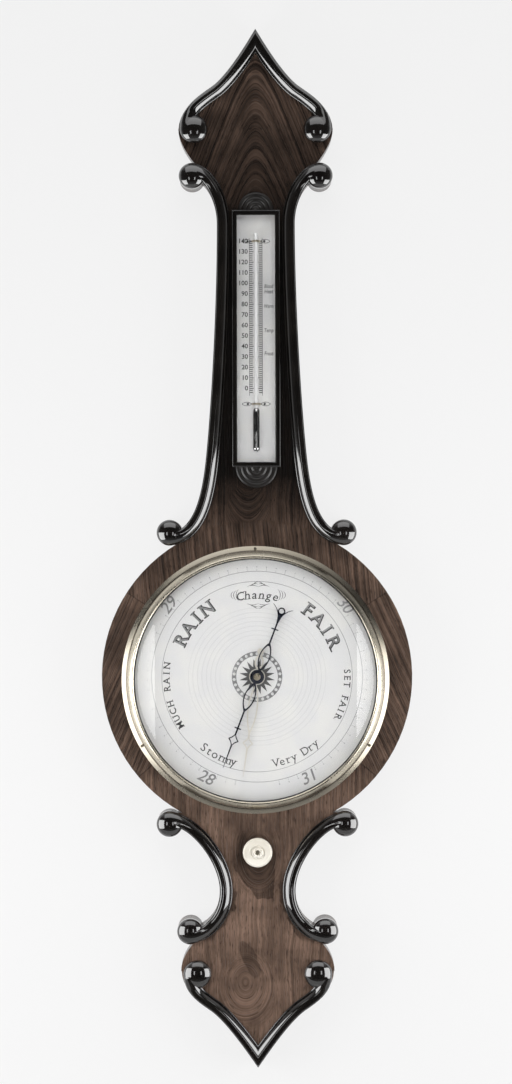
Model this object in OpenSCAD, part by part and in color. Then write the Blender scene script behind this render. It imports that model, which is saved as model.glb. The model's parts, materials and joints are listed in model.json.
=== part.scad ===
// Wheel barometer in a scrolled rosewood case, with a thermometer above the dial.
// Pieces are drawn in a face frame: x to the right, y up and z from the wall towards the viewer.
// stand() turns that frame upright, so the wall is the plane y = 0 and the front faces -Y.
// The origin is the centre of the hanging hole, on the wall.

/* [Case] */
// Depth of the carcass, from the wall to the back of the veneer
case_depth = 35; // [34:0.5:40]
// Thickness of the veneer on the front
veneer_t = 1.2; // [0.8:0.1:2]
// Height of the hanging hole above the centre of the dial
dial_drop = 560; // [550:1:580]
// Radius of the round board behind the dial
disc_r = 158.3; // [152:0.1:166]
// Height of the head's tip above the hanging hole
crest_rise = 101; // [99:0.5:106]
// Half the width of the head at its widest
head_half = 79; // [76:0.5:84]
// Half the width of the trunk at its narrowest
trunk_half = 39.7; // [38.5:0.1:44]
// Half the width of the waist under the dial
waist_half = 38.6; // [38:0.1:44]
// Distance from the dial centre down to the narrowest part of the waist
waist_drop = 218; // [212:1:224]
// Half the width of the base at its widest
base_half = 77.9; // [74:0.1:84]
// Distance from the dial centre down to the widest part of the base
base_drop = 301; // [297:1:312]
// Distance from the dial centre down to the tip of the base
tip_drop = 398.5; // [394:0.5:412]

/* [Scroll mouldings] */
// Width of the moulding
moulding_w = 13; // [11:0.5:14]
// Height of the moulding above the veneer
moulding_h = 7.4; // [6:0.1:9]
// Radius of the round ends on the trunk and waist
scroll_r = 13.2; // [12:0.1:14.5]
// Radius of the round ends on the head and base
crest_scroll_r = 14.3; // [13:0.1:15]
// Height of the round ends above the veneer
scroll_h = 10.8; // [9.5:0.1:12]
// Distance of the upper trunk scrolls from the centre line
upper_scroll_x = 65.3; // [63:0.1:68]
// Distance of the upper trunk scrolls below the hanging hole
upper_scroll_drop = 49.1; // [47:0.1:52]
// Angle of the lower trunk scrolls round the dial, above level
lower_scroll_angle = 58.9; // [57:0.1:61]
// Angle of the upper waist scrolls round the dial, below level
waist_scroll_angle = 59.1; // [57:0.1:61]
// Distance of the lower waist scrolls from the centre line
waist_scroll_x = 69; // [67:0.1:72]

/* [Dial] */
// Radius of the silvered dial plate
dial_r = 129.8; // [124:0.1:130.5]
// Thickness of the dial plate
dial_t = 1.6; // [1.2:0.1:2]
// Depth of the dial's recess below the veneer's back
dial_recess = 3.5; // [3:0.1:4]
// Outer radius of the brass bezel
bezel_r = 136.6; // [134:0.1:140]
// Radius of the opening that shows the dial
sight_r = 124.1; // [118:0.1:126]
// How far the turned opening sits left of the hands' arbor
opening_left = 1.6; // [0:0.1:2]
// How far the turned opening sits below the hands' arbor
opening_low = 3.2; // [0:0.1:4]
// Height of the bezel above the veneer
bezel_h = 11; // [10:0.1:13]
// Thickness of the dial glass
glass_t = 1.9; // [1.5:0.1:2.2]
// Rise of the convex glass at its centre
glass_rise = 6.5; // [5:0.1:8]
// Length of the pressure hand from the arbor to its tip
hand_reach = 99; // [94:0.5:104]
// Length of the set hand from the arbor to its tip
set_hand_reach = 103.3; // [98:0.5:106]
// Thickness of both hands
hand_t = 0.8; // [0.6:0.1:1]
// Reading of the pressure hand, clockwise from the top
hand_angle = 200.7; // [190:0.1:210]
// Place of the set hand, clockwise from the top
set_angle = 188.1; // [170:0.1:196]

/* [Thermometer] */
// Width of the thermometer's frame
thermo_w = 49; // [46:0.5:52]
// Height of the thermometer's frame
thermo_h = 262; // [255:1:268]
// Height of the thermometer's centre above the dial centre
thermo_rise = 345; // [340:1:350]
// Width of the frame's rails
thermo_rail = 5.1; // [4:0.1:6]
// Height of the frame above the veneer
thermo_proud = 3.8; // [3:0.1:5]
// Depth of the thermometer's recess below the veneer's back
thermo_recess = 8; // [7.5:0.1:9]
// Radius of the thermometer's stem
stem_r = 1.9; // [1.6:0.1:2.2]
// Radius of the thermometer's bulb
bulb_r = 3.6; // [3.2:0.1:3.8]
// Radius of the upper half-round ornament
fan_top_r = 18.4; // [17:0.1:20]
// Radius of the lower half-round ornament
fan_low_r = 21.4; // [20:0.1:23]
// Height of the half-round ornaments above the veneer
fan_h = 3.2; // [2.5:0.1:4]

/* [Movement] */
// Radius at which the thread runs round the pulley
pulley_r = 7.14; // [7:0.01:7.6]
// Radius of the hand arbor
arbor_r = 1.4; // [1.2:0.05:1.6]
// Outer radius of the pipe that carries the set hand
pipe_r = 2.4; // [2.2:0.05:2.8]
// Radius of the set rod
rod_r = 1.4; // [1.2:0.05:1.5]
// Teeth on each contrate wheel
wheel_teeth = 32; // [28:1:34]
// Teeth on each pinion of the set rod
pinion_teeth = 10; // [10:1:10]
// Module of the set-hand gears
gear_module = 0.6; // [0.6:0.01:0.62]
// Radius of the set knob
knob_r = 15; // [13:0.1:16]
// Distance from the dial centre down to the set knob
knob_drop = 178.8; // [176:0.1:184]
// Running clearance of each bearing
run_gap = 0.05; // [0.03:0.01:0.08]

/* [Siphon tube] */
// Outer radius of the glass tube
tube_r = 4.5; // [4.3:0.1:4.7]
// Wall of the glass tube
tube_wall = 1; // [0.8:0.1:1.1]
// Distance of the long limb from the centre line
limb_x = 20; // [19.5:0.1:21]
// Height of the sealed end above the hanging hole
tube_top = 38; // [34:1:40]
// Distance from the dial centre down to the lowest part of the bend
bend_drop = 290; // [286:1:294]
// Radius of the counterweight's tube
counter_tube_r = 3.2; // [3:0.1:3.4]

/* [Back] */
// Width of the hinged door behind the dial
door_w = 94; // [90:0.5:98]
// Height of the hinged door
door_h = 190; // [180:1:196]
// Thickness of the door panel
door_t = 2.9; // [2.5:0.1:3]
// Thickness of the slips that close the tube's channel
slip_t = 3; // [2.5:0.1:3.2]
// Radius of the hanging hole
hang_r = 4.5; // [4:0.1:5]
// Thickness of the hanging plate
hang_t = 2; // [1.5:0.1:2.5]

/* [Hidden] */
$fn = 64;
tiny = 0.01;
fit_gap = 0.3;
cork_rest = 0.1;
snug = 0.05;
press_gap = 0.02;
end_play = 0.2;
curve_steps = 10;
edge_inset = 0.3;
tip_angle = 31.4;
base_tip_angle = 35.1;

// Levels up and down the case
dial_u = -dial_drop;
base_u = dial_u - base_drop;
tip_u = dial_u - tip_drop;
waist_u = dial_u - waist_drop;
knob_u = dial_u - knob_drop;
thermo_u = dial_u + thermo_rise;

// Depths from the wall
face_d = case_depth + veneer_t;
dial_back_d = case_depth - dial_recess;
opening = [-opening_left, dial_u - opening_low, 0];
dial_front_d = dial_back_d + dial_t;
front_wall = 7;
cavity_d = case_depth - front_wall;
door_back_d = 3;
door_front_d = door_back_d + door_t;
door_ledge_d = door_front_d + 0.1;
bridge_back_d = door_front_d + 0.5;
bridge_t = 1.8;
tube_d = bridge_back_d + bridge_t + 0.4 + tube_r;
groove_d = tube_d + tube_r + 2.4;
thermo_floor_d = case_depth - thermo_recess;
rod_d = tube_d + tube_r + 1.4 + rod_r;
set_hand_d = dial_front_d + 2.5;
hand_d = set_hand_d + hand_t + 2.2;

// Gears of the set-hand drive
wheel_r = gear_module * wheel_teeth / 2;
pinion_r = gear_module * pinion_teeth / 2;
tooth_t = 0.55;
face_w = 1.6;
pinion_tip_r = pinion_r + 0.4;
pinion_root_r = pinion_r - 0.8;
crown_tip_d = rod_d + pinion_r - 0.15;
crown_base_d = rod_d + pinion_tip_r + fit_gap;
crown_t = 1.5;
crown_rim_r = wheel_r + 1.4;
pipe_back_d = crown_base_d - 0.4;

// Ends of the scrolls
half_w = moulding_w / 2;
trunk_x = trunk_half - half_w;
waist_x = waist_half - half_w;
crest_end = [head_half - half_w, -2];
crest_scroll = [head_half - crest_scroll_r - 1.6, -1.2];
upper_scroll = [upper_scroll_x, -upper_scroll_drop];
lower_scroll = [0, dial_u]
    + (disc_r + scroll_r + 0.4) * [cos(lower_scroll_angle), sin(lower_scroll_angle)];
waist_scroll = [0, dial_u]
    + (disc_r + scroll_r + 3) * [cos(waist_scroll_angle), -sin(waist_scroll_angle)];
foot_scroll = [waist_scroll_x, base_u + 41.6];
base_scroll = [base_half - crest_scroll_r - 2, base_u - 2];

// Centre lines of the mouldings on the right-hand side, as chains of cubic curves
crest_tip = [0, crest_rise - half_w / sin(tip_angle)];
crest_bend = [head_half - 38, 36.7];
crest_path = [
    [crest_tip, crest_tip + 23.6 * [sin(tip_angle), -cos(tip_angle)],
        crest_bend - [13, -9], crest_bend],
    [crest_bend, crest_bend + [15, -10.4], crest_end + [-1, 18], crest_end]
];
trunk_top = [trunk_x, upper_scroll.y - 48.9];
trunk_low = [trunk_x + 11.5, lower_scroll.y + 78.7];
trunk_pull = [trunk_x + 5.8, lower_scroll.y + 134.7];
trunk_path = [
    [upper_scroll + [-2.5, 5.4], upper_scroll + [-18.5, 3.2], trunk_top + [0, 27], trunk_top],
    [trunk_top, trunk_top - [0, 77], trunk_pull, trunk_low],
    [trunk_low, trunk_low + 0.75 * (trunk_low - trunk_pull),
        [trunk_x + 21.9, lower_scroll.y - 1.3], lower_scroll + [-3, -5.4]]
];
waist_mid = [waist_x, waist_u];
waist_path = [
    [waist_scroll + [-3.6, 5.2], waist_scroll + [-34.7, -3], waist_mid + [0, 28], waist_mid],
    [waist_mid, waist_mid - [0, 24], foot_scroll + [-25, 0.9], foot_scroll + [-3.2, -5.4]]
];
base_end = [base_half - half_w, base_u + 1];
base_bend = [base_half - 32.8, base_u - 33.7];
base_tip = [0, tip_u + half_w / sin(base_tip_angle)];
base_path = [
    [base_end, base_end - [0.4, 15], base_bend + [13, 9], base_bend],
    [base_bend, base_bend - [13.1, 8.8],
        base_tip + 26.5 * [sin(base_tip_angle), cos(base_tip_angle)], base_tip]
];

// Plain rounded edges of the head under its scrolls and of the base above them
head_arc = [[[head_half, -2], [head_half, -14], [head_half - 10, -29], [head_half - 21, -42]]];
base_arc = [[[base_half - 20, base_u + 37], [base_half - 9, base_u + 26],
    [base_half + 0.3, base_u + 14], [base_half, base_u + 1]]];

// Cross-section of the moulding: a small bead inside, a bold round and a fillet outside
bead_w = 2;
bead_h = 2.8;
round_r = (moulding_w - bead_w - 0.8) / 2;
round_x = half_w - 0.8 - round_r;
round_base = 2.2;
profile = concat(
    [[-half_w, 0], [-half_w, bead_h - 0.7], [0.6 - half_w, bead_h], [bead_w - 0.5 - half_w, bead_h]],
    [for (a = [180:-22.5:0])
        [round_x + round_r * cos(a), round_base + (moulding_h - round_base) * sin(a)]],
    [[half_w, round_base], [half_w, 0]]
);

// Channel, cavity and covers in the back
cavity_r = 40;
channel_left = -limb_x - tube_r - 3;
channel_right = pulley_r + tube_r + 4;
channel_low = dial_u - bend_drop - 12;
groove_half = tube_r + 2;
groove_top = tube_top + 6;
slip_lip = 4.5;
door_low = dial_u - door_h / 2;
door_high = dial_u + door_h / 2;
door_side_gap = 0.4;
hinge_side_gap = 1.2;
hinge_x = door_w / 2 + 2;
hinge_d = 2;
hinge_len = 24;
hinge_levels = [dial_u - 60, dial_u + 60];
knuckle_r = 1.7;
hinge_pin_r = 0.8;
leaf_t = 0.8;
leaf_w = 9;
knuckle_gap = 0.15;
button_x = -door_w / 2 - 6.5;
button_reach = 14;
button_half = 3.6;
button_d = [1.3, door_back_d - fit_gap];
button_pocket_d = door_back_d;

// Siphon tube and what hangs in it
bore_r = tube_r - tube_wall;
bend_r = (limb_x + pulley_r) / 2;
bend_x = (pulley_r - limb_x) / 2;
bend_u = dial_u - bend_drop + bend_r + tube_r;
mouth_u = dial_u - 96;
low_level_u = dial_u - 156;
column_h = 709.7;
high_level_u = low_level_u + column_h;
fixed_level_u = low_level_u - 70;
float_r = bore_r - 0.5;
float_h = 14;
counter_bore_r = counter_tube_r - 0.6;
counter_r = counter_bore_r - 0.4;
counter_h = float_h * float_r * float_r / (counter_r * counter_r);
counter_low_u = dial_u - 222;
counter_high_u = dial_u - 82;
counter_rest_u = dial_u - 178;
thread_r = 0.35;
strap_levels = [[-250, true], [dial_u - 112, false], [dial_u - 216, false]];
strap_h = 8;
strap_t = 2.2;
strap_d = tube_d - tube_r - 0.1 - strap_t;

// Screws
screw_r = 1;
screw_head_r = 2;
screw_head_t = 1;
screw_head_d = 0.2;
screw_len = 9;
movement_head_r = 2.2;
movement_head_t = 1.1;
hang_half_w = 8;
hang_half_h = 17;
hang_screw_u = 12;
nail_r = 7.5;
nail_depth = 10;

// Bezel, glass and thermometer fits
glass_lap = 5.1;
skirt_t = 1.6;
bezel_round = 5.7;
seat_r = sight_r + glass_lap;
skirt_r = seat_r + skirt_t;
recess_r = max(dial_r + 1.2, skirt_r + 0.2);
seat_d = face_d + bezel_h - 3.7;
flange_t = 1.9;
pin_circle_r = bezel_r - 2.6;
pin_r = 0.9;
pin_angles = [0, 120, 240];
bush_r = 4.5;
bush_flange_r = 8;
bush_flange_d = dial_back_d - 1.4;
bush_front_d = dial_front_d + 0.5;
knob_bush_r = 5;
knob_arbor_r = pipe_r;
scale_t = 1.2;
stem_d = thermo_floor_d + scale_t + 0.5 + bulb_r;
stem_top_u = thermo_u + 107;
bulb_top_u = thermo_u - 69.6;
bulb_low_u = thermo_u - 115.2;
clip_levels = [thermo_u + 100, thermo_u - 66.4];
reading_u = thermo_u + 14;
thermo_glass_t = 1.2;
thermo_glass_d = face_d + 1;

// Bridge behind the dial and the two brackets of the set rod
bridge_half = 6;
leg_x = [31.5, 34];
foot_x = 39;
foot_t = 2;
foot_screw_x = (leg_x[1] + foot_x) / 2;
bracket_level = -wheel_r - 11;
low_bracket_u = knob_u + wheel_r + 10;
bracket_half = 12;
bracket_screw_x = 9;
ear_h = 4;
movement_screw_places = concat(
    [for (s = [-1, 1]) [s * foot_screw_x, 0, dial_back_d]],
    [for (s = [-1, 1]) [s * bracket_screw_x, bracket_level, dial_back_d]]);

// Knuckles of each hinge, from its middle: the case has one and the door has two
third = hinge_len / 3;
case_spans = [[-third / 2 + knuckle_gap, third / 2 - knuckle_gap]];
door_spans = [[-hinge_len / 2, -third / 2], [third / 2, hinge_len / 2]];

// Places of the wood screws on the back
slip_x = -limb_x;
slip_half = groove_half + slip_lip;
upper_slip_ends = [door_high + 4, groove_top + slip_lip];
lower_slip_ends = [channel_low - slip_lip, door_low - 4];
hang_screws = [for (s = [-1, 1]) [0, s * hang_screw_u]];
upper_slip_screws = [for (s = [-1, 1])
    for (u = [upper_slip_ends[0] + 30 + 12 * s, upper_slip_ends[1] - 90 + 40 * s])
        [slip_x + s * (groove_half + slip_lip / 2), u]];
lower_slip_screws = [for (x = [channel_left - slip_lip / 2, channel_right + slip_lip / 2])
    for (u = [lower_slip_ends[0] + 20, strap_levels[1][0] - 16]) [x, u]];
back_screws = concat(hang_screws, upper_slip_screws, lower_slip_screws);

// Outlines of the hands, from the arbor outwards
hub_r = 6.4;
set_hub_r = 8.2;
loop_end = 38.5;
diamond = [61.5, 75.5];
stalk_w = 1.7;

// Finishes
rosewood = "#4a2b20";
ebonised = "#1c1312";
silvered = "#d9d8d2";
brass = "#c9a758";
blued = "#1f2638";
bone = "#f1ece0";
clear = [0.85, 0.92, 0.92, 0.35];
quicksilver = "#b9bcc2";
pine = "#b58e5e";
cork = "#a87b4f";
linen = "#d8cdb0";

// Frames and simple solids
module stand() { rotate([90, 0, 0]) children(); }
module both_sides() { children(); mirror([1, 0, 0]) children(); }
module disc(r, d0, d1) { translate([0, 0, d0]) cylinder(r = r, h = d1 - d0); }
module ring(outer, inner, d0, d1) {
    difference() {
        disc(outer, d0, d1);
        disc(inner, d0 - 1, d1 + 1);
    }
}
module slab(x, u, d) { translate([x[0], u[0], d[0]]) cube([x[1] - x[0], u[1] - u[0], d[1] - d[0]]); }
module upright(x, d, r, u0, u1) {
    translate([x, u0, d]) rotate([-90, 0, 0]) cylinder(r = r, h = u1 - u0);
}
module wood_screws(places) {
    neck_d = screw_head_d + screw_head_t;
    for (p = places) translate(p) {
        disc(screw_head_r, screw_head_d, neck_d);
        disc(screw_r, neck_d - tiny, screw_len);
    }
}
module screw_holes(places) {
    for (p = places) translate(p) {
        disc(screw_head_r + 0.1, -1, screw_head_d + screw_head_t);
        disc(screw_r + snug, -1, screw_len + 0.5);
    }
}

// Curves
function bezier(p, t) = pow(1 - t, 3) * p[0] + 3 * t * pow(1 - t, 2) * p[1]
    + 3 * t * t * (1 - t) * p[2] + pow(t, 3) * p[3];
function heading(p, t) = let (v = pow(1 - t, 2) * (p[1] - p[0]) + 2 * t * (1 - t) * (p[2] - p[1])
    + t * t * (p[3] - p[2])) v / norm(v);
function stations(path) = [for (i = [0:len(path) - 1]) for (k = [(i == 0 ? 0 : 1):curve_steps])
    [bezier(path[i], k / curve_steps), heading(path[i], k / curve_steps)]];
// A point beside the path, slid to the mitre where the path meets the centre line
function beside(station, off) = let (t = station[1], p = station[0] + off * [-t.y, t.x],
    slide = abs(station[0].x) < tiny ? -p.x / t.x : 0) p + slide * t;
function edge(path, off) = [for (s = stations(path)) beside(s, off)];
function mirrored(points) = concat(points, [for (i = [len(points) - 1:-1:0])
    if (abs(points[i].x) > tiny) [-points[i].x, points[i].y]]);

// Sweep of the moulding's cross-section along a path
module moulding_sweep(path) {
    line = stations(path);
    n = len(profile);
    last = len(line) - 1;
    points = [for (s = line) for (q = profile) let (p = beside(s, q.x)) [p.x, p.y, q.y]];
    sides = [for (i = [0:last - 1]) for (j = [0:n - 1]) let (a = i * n + j, b = i * n + (j + 1) % n)
        each [[a, b, b + n], [a, b + n, a + n]]];
    ends = [[for (j = [n - 1:-1:0]) j], [for (j = [0:n - 1]) last * n + j]];
    polyhedron(points, concat(sides, ends));
}

// Turned bun at the end of a scroll
module scroll_end(at, r) {
    side_h = 3;
    translate([at.x, at.y, 0]) rotate_extrude() polygon(concat([[0, 0]],
        [for (a = [0:10:90]) [r * cos(a), a == 0 ? 0 : side_h + (scroll_h - side_h) * sin(a)]]));
}

module moulding_piece(path, scroll, r) {
    color(ebonised) stand() translate([0, 0, face_d]) {
        moulding_sweep(path);
        scroll_end(scroll, r);
    }
}

// Outline of the case, as one flat board of a given depth
module board(d0, d1) {
    rim = half_w - edge_inset;
    head = concat(edge(crest_path, rim), edge(head_arc, -edge_inset), [[trunk_x, upper_scroll.y - 20]]);
    trunk = concat(edge(trunk_path, rim), [lower_scroll + [-7.4, -12.1]]);
    waist = concat([waist_scroll + [-8.5, 11.2]], edge(waist_path, rim), [foot_scroll + [-9.3, -12]]);
    base = concat([[waist_x, base_u + 50]], edge(base_arc, edge_inset), edge(base_path, rim));
    translate([0, 0, d0]) {
        for (outline = [head, trunk, waist, base])
            linear_extrude(d1 - d0) polygon(mirrored(outline));
        translate([0, dial_u]) cylinder(r = disc_r, h = d1 - d0, $fn = 128);
        both_sides() for (c = [upper_scroll, lower_scroll, waist_scroll, foot_scroll])
            translate(c) cylinder(r = scroll_r - edge_inset, h = d1 - d0);
    }
}

module case_carcass() {
    color(rosewood) stand() difference() {
        board(0, case_depth);
        translate(opening) disc(recess_r, dial_back_d, case_depth + 1, $fn = 128);
        translate([0, dial_u, 0]) disc(cavity_r, -1, dial_back_d + 1);
        slab([channel_left, channel_right], [channel_low, dial_u], [-1, cavity_d]);
        slab([-limb_x - groove_half, -limb_x + groove_half], [dial_u, groove_top], [-1, groove_d]);
        door_rebate();
        slip_rebates();
        strap_notches();
        thermometer_recess(thermo_floor_d);
        translate([0, knob_u, 0]) disc(knob_bush_r + snug, cavity_d - 1, case_depth + 1);
        slab([-hang_half_w, hang_half_w], [-hang_half_h, hang_half_h], [-1, hang_t]);
        disc(nail_r, hang_t - tiny, hang_t + nail_depth);
        screw_holes(back_screws);
        for (s = [-1, 1]) translate([s * bracket_screw_x, low_bracket_u, 0])
            disc(screw_r + snug, cavity_d - 1, case_depth - 1);
        bezel_pin_holes();
    }
}

module door_rebate() {
    slab([-door_w / 2 - door_side_gap, door_w / 2 + hinge_side_gap],
        [door_low - door_side_gap, door_high + door_side_gap], [-1, door_ledge_d]);
    for (u = hinge_levels) {
        pocket = [u - hinge_len / 2 - fit_gap, u + hinge_len / 2 + fit_gap];
        slab([door_w / 2, hinge_x + leaf_w + 1], pocket, [-1, door_back_d]);
        upright(hinge_x, hinge_d, knuckle_r + 0.4, pocket[0], pocket[1]);
    }
    slab([button_x - 5, -door_w / 2], [dial_u - 5, dial_u + button_reach + 1.5], [-1, button_pocket_d]);
    translate([button_x, dial_u, 0]) disc(screw_r + snug, 0, button_pocket_d + screw_len);
}

module slip_rebates() {
    upper_slip(fit_gap);
    lower_slip(fit_gap);
}

module upper_slip(gap) {
    half = slip_half + gap;
    slab([slip_x - half, slip_x + half], [upper_slip_ends[0] - gap, upper_slip_ends[1] + gap],
        [gap > 0 ? -1 : 0, slip_t]);
}

module lower_slip(gap) {
    slab([channel_left - slip_lip - gap, channel_right + slip_lip + gap],
        [lower_slip_ends[0] - gap, lower_slip_ends[1] + gap], [gap > 0 ? -1 : 0, slip_t]);
}

// Bars across the channel that hold the tubes: [left end, right end] of each
function strap_span(in_groove) = in_groove
    ? [-limb_x - groove_half - 3, -limb_x + groove_half + 3]
    : [channel_left - 3, channel_right + 3];

module strap_notches() {
    for (s = strap_levels) {
        span = strap_span(s[1]);
        slab([span[0] - 0.1, span[1] + 0.1], [s[0] - strap_h / 2 - 0.1, s[0] + strap_h / 2 + 0.1],
            [slip_t - 0.1, strap_d + strap_t + 0.1]);
    }
}

module thermometer_recess(floor_d) {
    half_x = thermo_w / 2 - thermo_rail + 1.2;
    half_u = thermo_h / 2 - thermo_rail + 1.2;
    slab([-half_x, half_x], [thermo_u - half_u, thermo_u + half_u], [floor_d, face_d + 1]);
}

module at_pins() {
    for (a = pin_angles) rotate(-a) translate([0, pin_circle_r, 0]) children();
}

module bezel_pin_holes() {
    translate(opening) at_pins() disc(pin_r + snug, face_d - 8, face_d + bezel_h);
}

module front_veneer() {
    color(rosewood) stand() difference() {
        board(case_depth, face_d);
        translate(opening) disc(recess_r, case_depth - 1, face_d + 1, $fn = 128);
        thermometer_recess(case_depth - 1);
        translate([0, knob_u, 0]) disc(knob_bush_r + snug, case_depth - 1, face_d + 1);
        bezel_pin_holes();
    }
}

module crest_moulding_right() { moulding_piece(crest_path, crest_scroll, crest_scroll_r); }
module crest_moulding_left() { mirror([1, 0, 0]) crest_moulding_right(); }
module trunk_moulding_right() {
    color(ebonised) stand() translate([0, 0, face_d]) {
        moulding_sweep(trunk_path);
        scroll_end(upper_scroll, scroll_r);
        scroll_end(lower_scroll, scroll_r);
    }
}
module trunk_moulding_left() { mirror([1, 0, 0]) trunk_moulding_right(); }
module waist_moulding_right() {
    color(ebonised) stand() translate([0, 0, face_d]) {
        moulding_sweep(waist_path);
        scroll_end(waist_scroll, scroll_r);
        scroll_end(foot_scroll, scroll_r);
    }
}
module waist_moulding_left() { mirror([1, 0, 0]) waist_moulding_right(); }
module base_moulding_right() { moulding_piece(base_path, base_scroll, crest_scroll_r); }
module base_moulding_left() { mirror([1, 0, 0]) base_moulding_right(); }

// Half of a turned patera, its rings stepping down to the rim
module half_fan(r) {
    step = r / 4;
    groove = 0.9;
    rotate_extrude(angle = 180) polygon(concat([[0, 0], [0, fan_h]],
        [for (i = [1:3]) each [[i * step - groove, fan_h], [i * step - groove / 2, fan_h - 1],
            [i * step, fan_h - 0.2]]],
        [[r - 1.2, fan_h - 0.2], [r, fan_h - 1.4], [r, 0]]));
}

module fan_ornaments() {
    color(ebonised) stand() {
        translate([0, thermo_u + thermo_h / 2, face_d]) half_fan(fan_top_r);
        translate([0, thermo_u - thermo_h / 2, face_d]) rotate(180) half_fan(fan_low_r);
    }
}

module frame_rail_outline(grow, d) {
    slab([-thermo_w / 2 - grow, thermo_w / 2 + grow],
        [thermo_u - thermo_h / 2 - grow, thermo_u + thermo_h / 2 + grow], d);
}

module thermometer_frame() {
    rebate = 2.2;
    color(ebonised) stand() difference() {
        union() {
            frame_rail_outline(0, [face_d, face_d + thermo_proud - 1]);
            frame_rail_outline(-1, [face_d, face_d + thermo_proud]);
        }
        frame_rail_outline(-thermo_rail, [face_d - 1, face_d + thermo_proud + 1]);
        frame_rail_outline(rebate - thermo_rail, [face_d - 1, thermo_glass_d + thermo_glass_t]);
    }
}

module thermometer_glass() {
    seat = 2;
    color(clear) stand() frame_rail_outline(seat - thermo_rail,
        [thermo_glass_d + snug, thermo_glass_d + thermo_glass_t]);
}

module thermometer_scale() {
    half_x = thermo_w / 2 - thermo_rail + 0.9;
    half_u = thermo_h / 2 - thermo_rail + 0.9;
    color(silvered) stand() slab([-half_x, half_x], [thermo_u - half_u, thermo_u + half_u],
        [thermo_floor_d, thermo_floor_d + scale_t]);
}

module thermometer_tube() {
    color(clear) stand() difference() {
        union() {
            upright(0, stem_d, stem_r, bulb_top_u - 1, stem_top_u);
            upright(0, stem_d, bulb_r, bulb_low_u + bulb_r, bulb_top_u - bulb_r);
            for (u = [bulb_low_u + bulb_r, bulb_top_u - bulb_r]) translate([0, u, stem_d]) sphere(bulb_r);
            translate([0, stem_top_u, stem_d]) sphere(stem_r);
        }
        thermometer_bore(0);
    }
}

module thermometer_bore(gap) {
    bore = 0.55 - gap;
    inner = bulb_r - 0.7 - gap;
    top = gap > 0 ? reading_u : stem_top_u - 2;
    upright(0, stem_d, bore, bulb_low_u + bulb_r, top);
    upright(0, stem_d, inner, bulb_low_u + bulb_r, bulb_top_u - bulb_r);
    for (u = [bulb_low_u + bulb_r, bulb_top_u - bulb_r]) translate([0, u, stem_d]) sphere(inner);
}

module thermometer_mercury() { color(quicksilver) stand() thermometer_bore(snug); }

module thermometer_clips() {
    clip_h = 1.8;
    foot_half = 4.6;
    scale_d = thermo_floor_d + scale_t;
    color(brass) stand() for (u = clip_levels) difference() {
        union() {
            slab([-foot_half, foot_half], [u - clip_h / 2, u + clip_h / 2], [scale_d, scale_d + 0.6]);
            slab([-stem_r - 0.7, stem_r + 0.7], [u - clip_h / 2, u + clip_h / 2], [scale_d, stem_d]);
            upright(0, stem_d, stem_r + 0.7, u - clip_h / 2, u + clip_h / 2);
        }
        upright(0, stem_d, stem_r + snug, u - clip_h, u + clip_h);
    }
}

module dial_plate() {
    color(silvered) stand() difference() {
        translate(opening) disc(dial_r, dial_back_d, dial_front_d, $fn = 128);
        translate([0, dial_u, 0]) {
            disc(bush_r + snug, dial_back_d - 1, dial_front_d + 1);
            for (p = movement_screw_places) translate(p) disc(screw_r + snug, -1, dial_t - 0.3);
        }
    }
}

module dial_bush() {
    color(brass) stand() translate([0, dial_u, 0]) difference() {
        union() {
            disc(bush_r, dial_back_d - 1, bush_front_d);
            disc(bush_flange_r, bush_flange_d, dial_back_d);
        }
        disc(pipe_r + run_gap, bush_flange_d - 1, bush_front_d + 1);
    }
}

module bezel() {
    top_d = face_d + bezel_h;
    round_in = sight_r + 2.2;
    round_out = round_in + bezel_round;
    foot_d = face_d + flange_t + 0.8;
    color(brass) stand() translate(opening) difference() {
        rotate_extrude($fn = 128) polygon(concat(
            [[sight_r, seat_d], [sight_r, top_d - 1.6]],
            [[sight_r + 0.6, top_d - 0.5], [sight_r + 1.4, top_d]],
            [for (a = [90:-15:0])
                [round_in + (round_out - round_in) * cos(a), foot_d + (top_d - foot_d) * sin(a)]],
            [[round_out + 0.5, face_d + flange_t - 0.3], [round_out + 1.1, face_d + flange_t],
                [bezel_r - 1.5, face_d + flange_t], [bezel_r - 0.4, face_d + flange_t - 0.6],
                [bezel_r, face_d + flange_t - 1.3], [bezel_r, face_d],
                [skirt_r, face_d], [skirt_r, dial_front_d], [seat_r, dial_front_d], [seat_r, seat_d]]));
        at_pins() disc(pin_r + snug, face_d - 1, face_d + 5);
    }
}

module dial_glass() {
    rim_r = seat_r - 0.2;
    dome_r = sight_r - 0.5;
    rim_d = seat_d - 0.1;
    ball_r = (dome_r * dome_r + glass_rise * glass_rise) / (2 * glass_rise);
    color(clear) stand() translate(opening) rotate_extrude($fn = 128) {
        translate([dome_r - 0.6, rim_d - glass_t]) square([rim_r - dome_r + 0.6, glass_t]);
        intersection() {
            translate([0, rim_d + glass_rise - ball_r]) difference() {
                circle(ball_r, $fn = 360);
                circle(ball_r - glass_t, $fn = 360);
            }
            translate([0, rim_d - glass_t]) square([dome_r, glass_rise + glass_t + 1]);
        }
    }
}

module glass_putty() {
    glass_back_d = seat_d - 0.1 - glass_t;
    color(bone) stand() translate(opening)
        ring(seat_r - 0.1, sight_r + 0.6, glass_back_d - 2.4, glass_back_d, $fn = 128);
}

module bezel_pins() {
    head_r = 1.5;
    pin_head_d = face_d + flange_t;
    color(brass) stand() translate(opening) at_pins() {
        disc(head_r, pin_head_d, pin_head_d + 0.6);
        disc(pin_r, face_d - 7, pin_head_d + tiny);
    }
}

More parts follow.
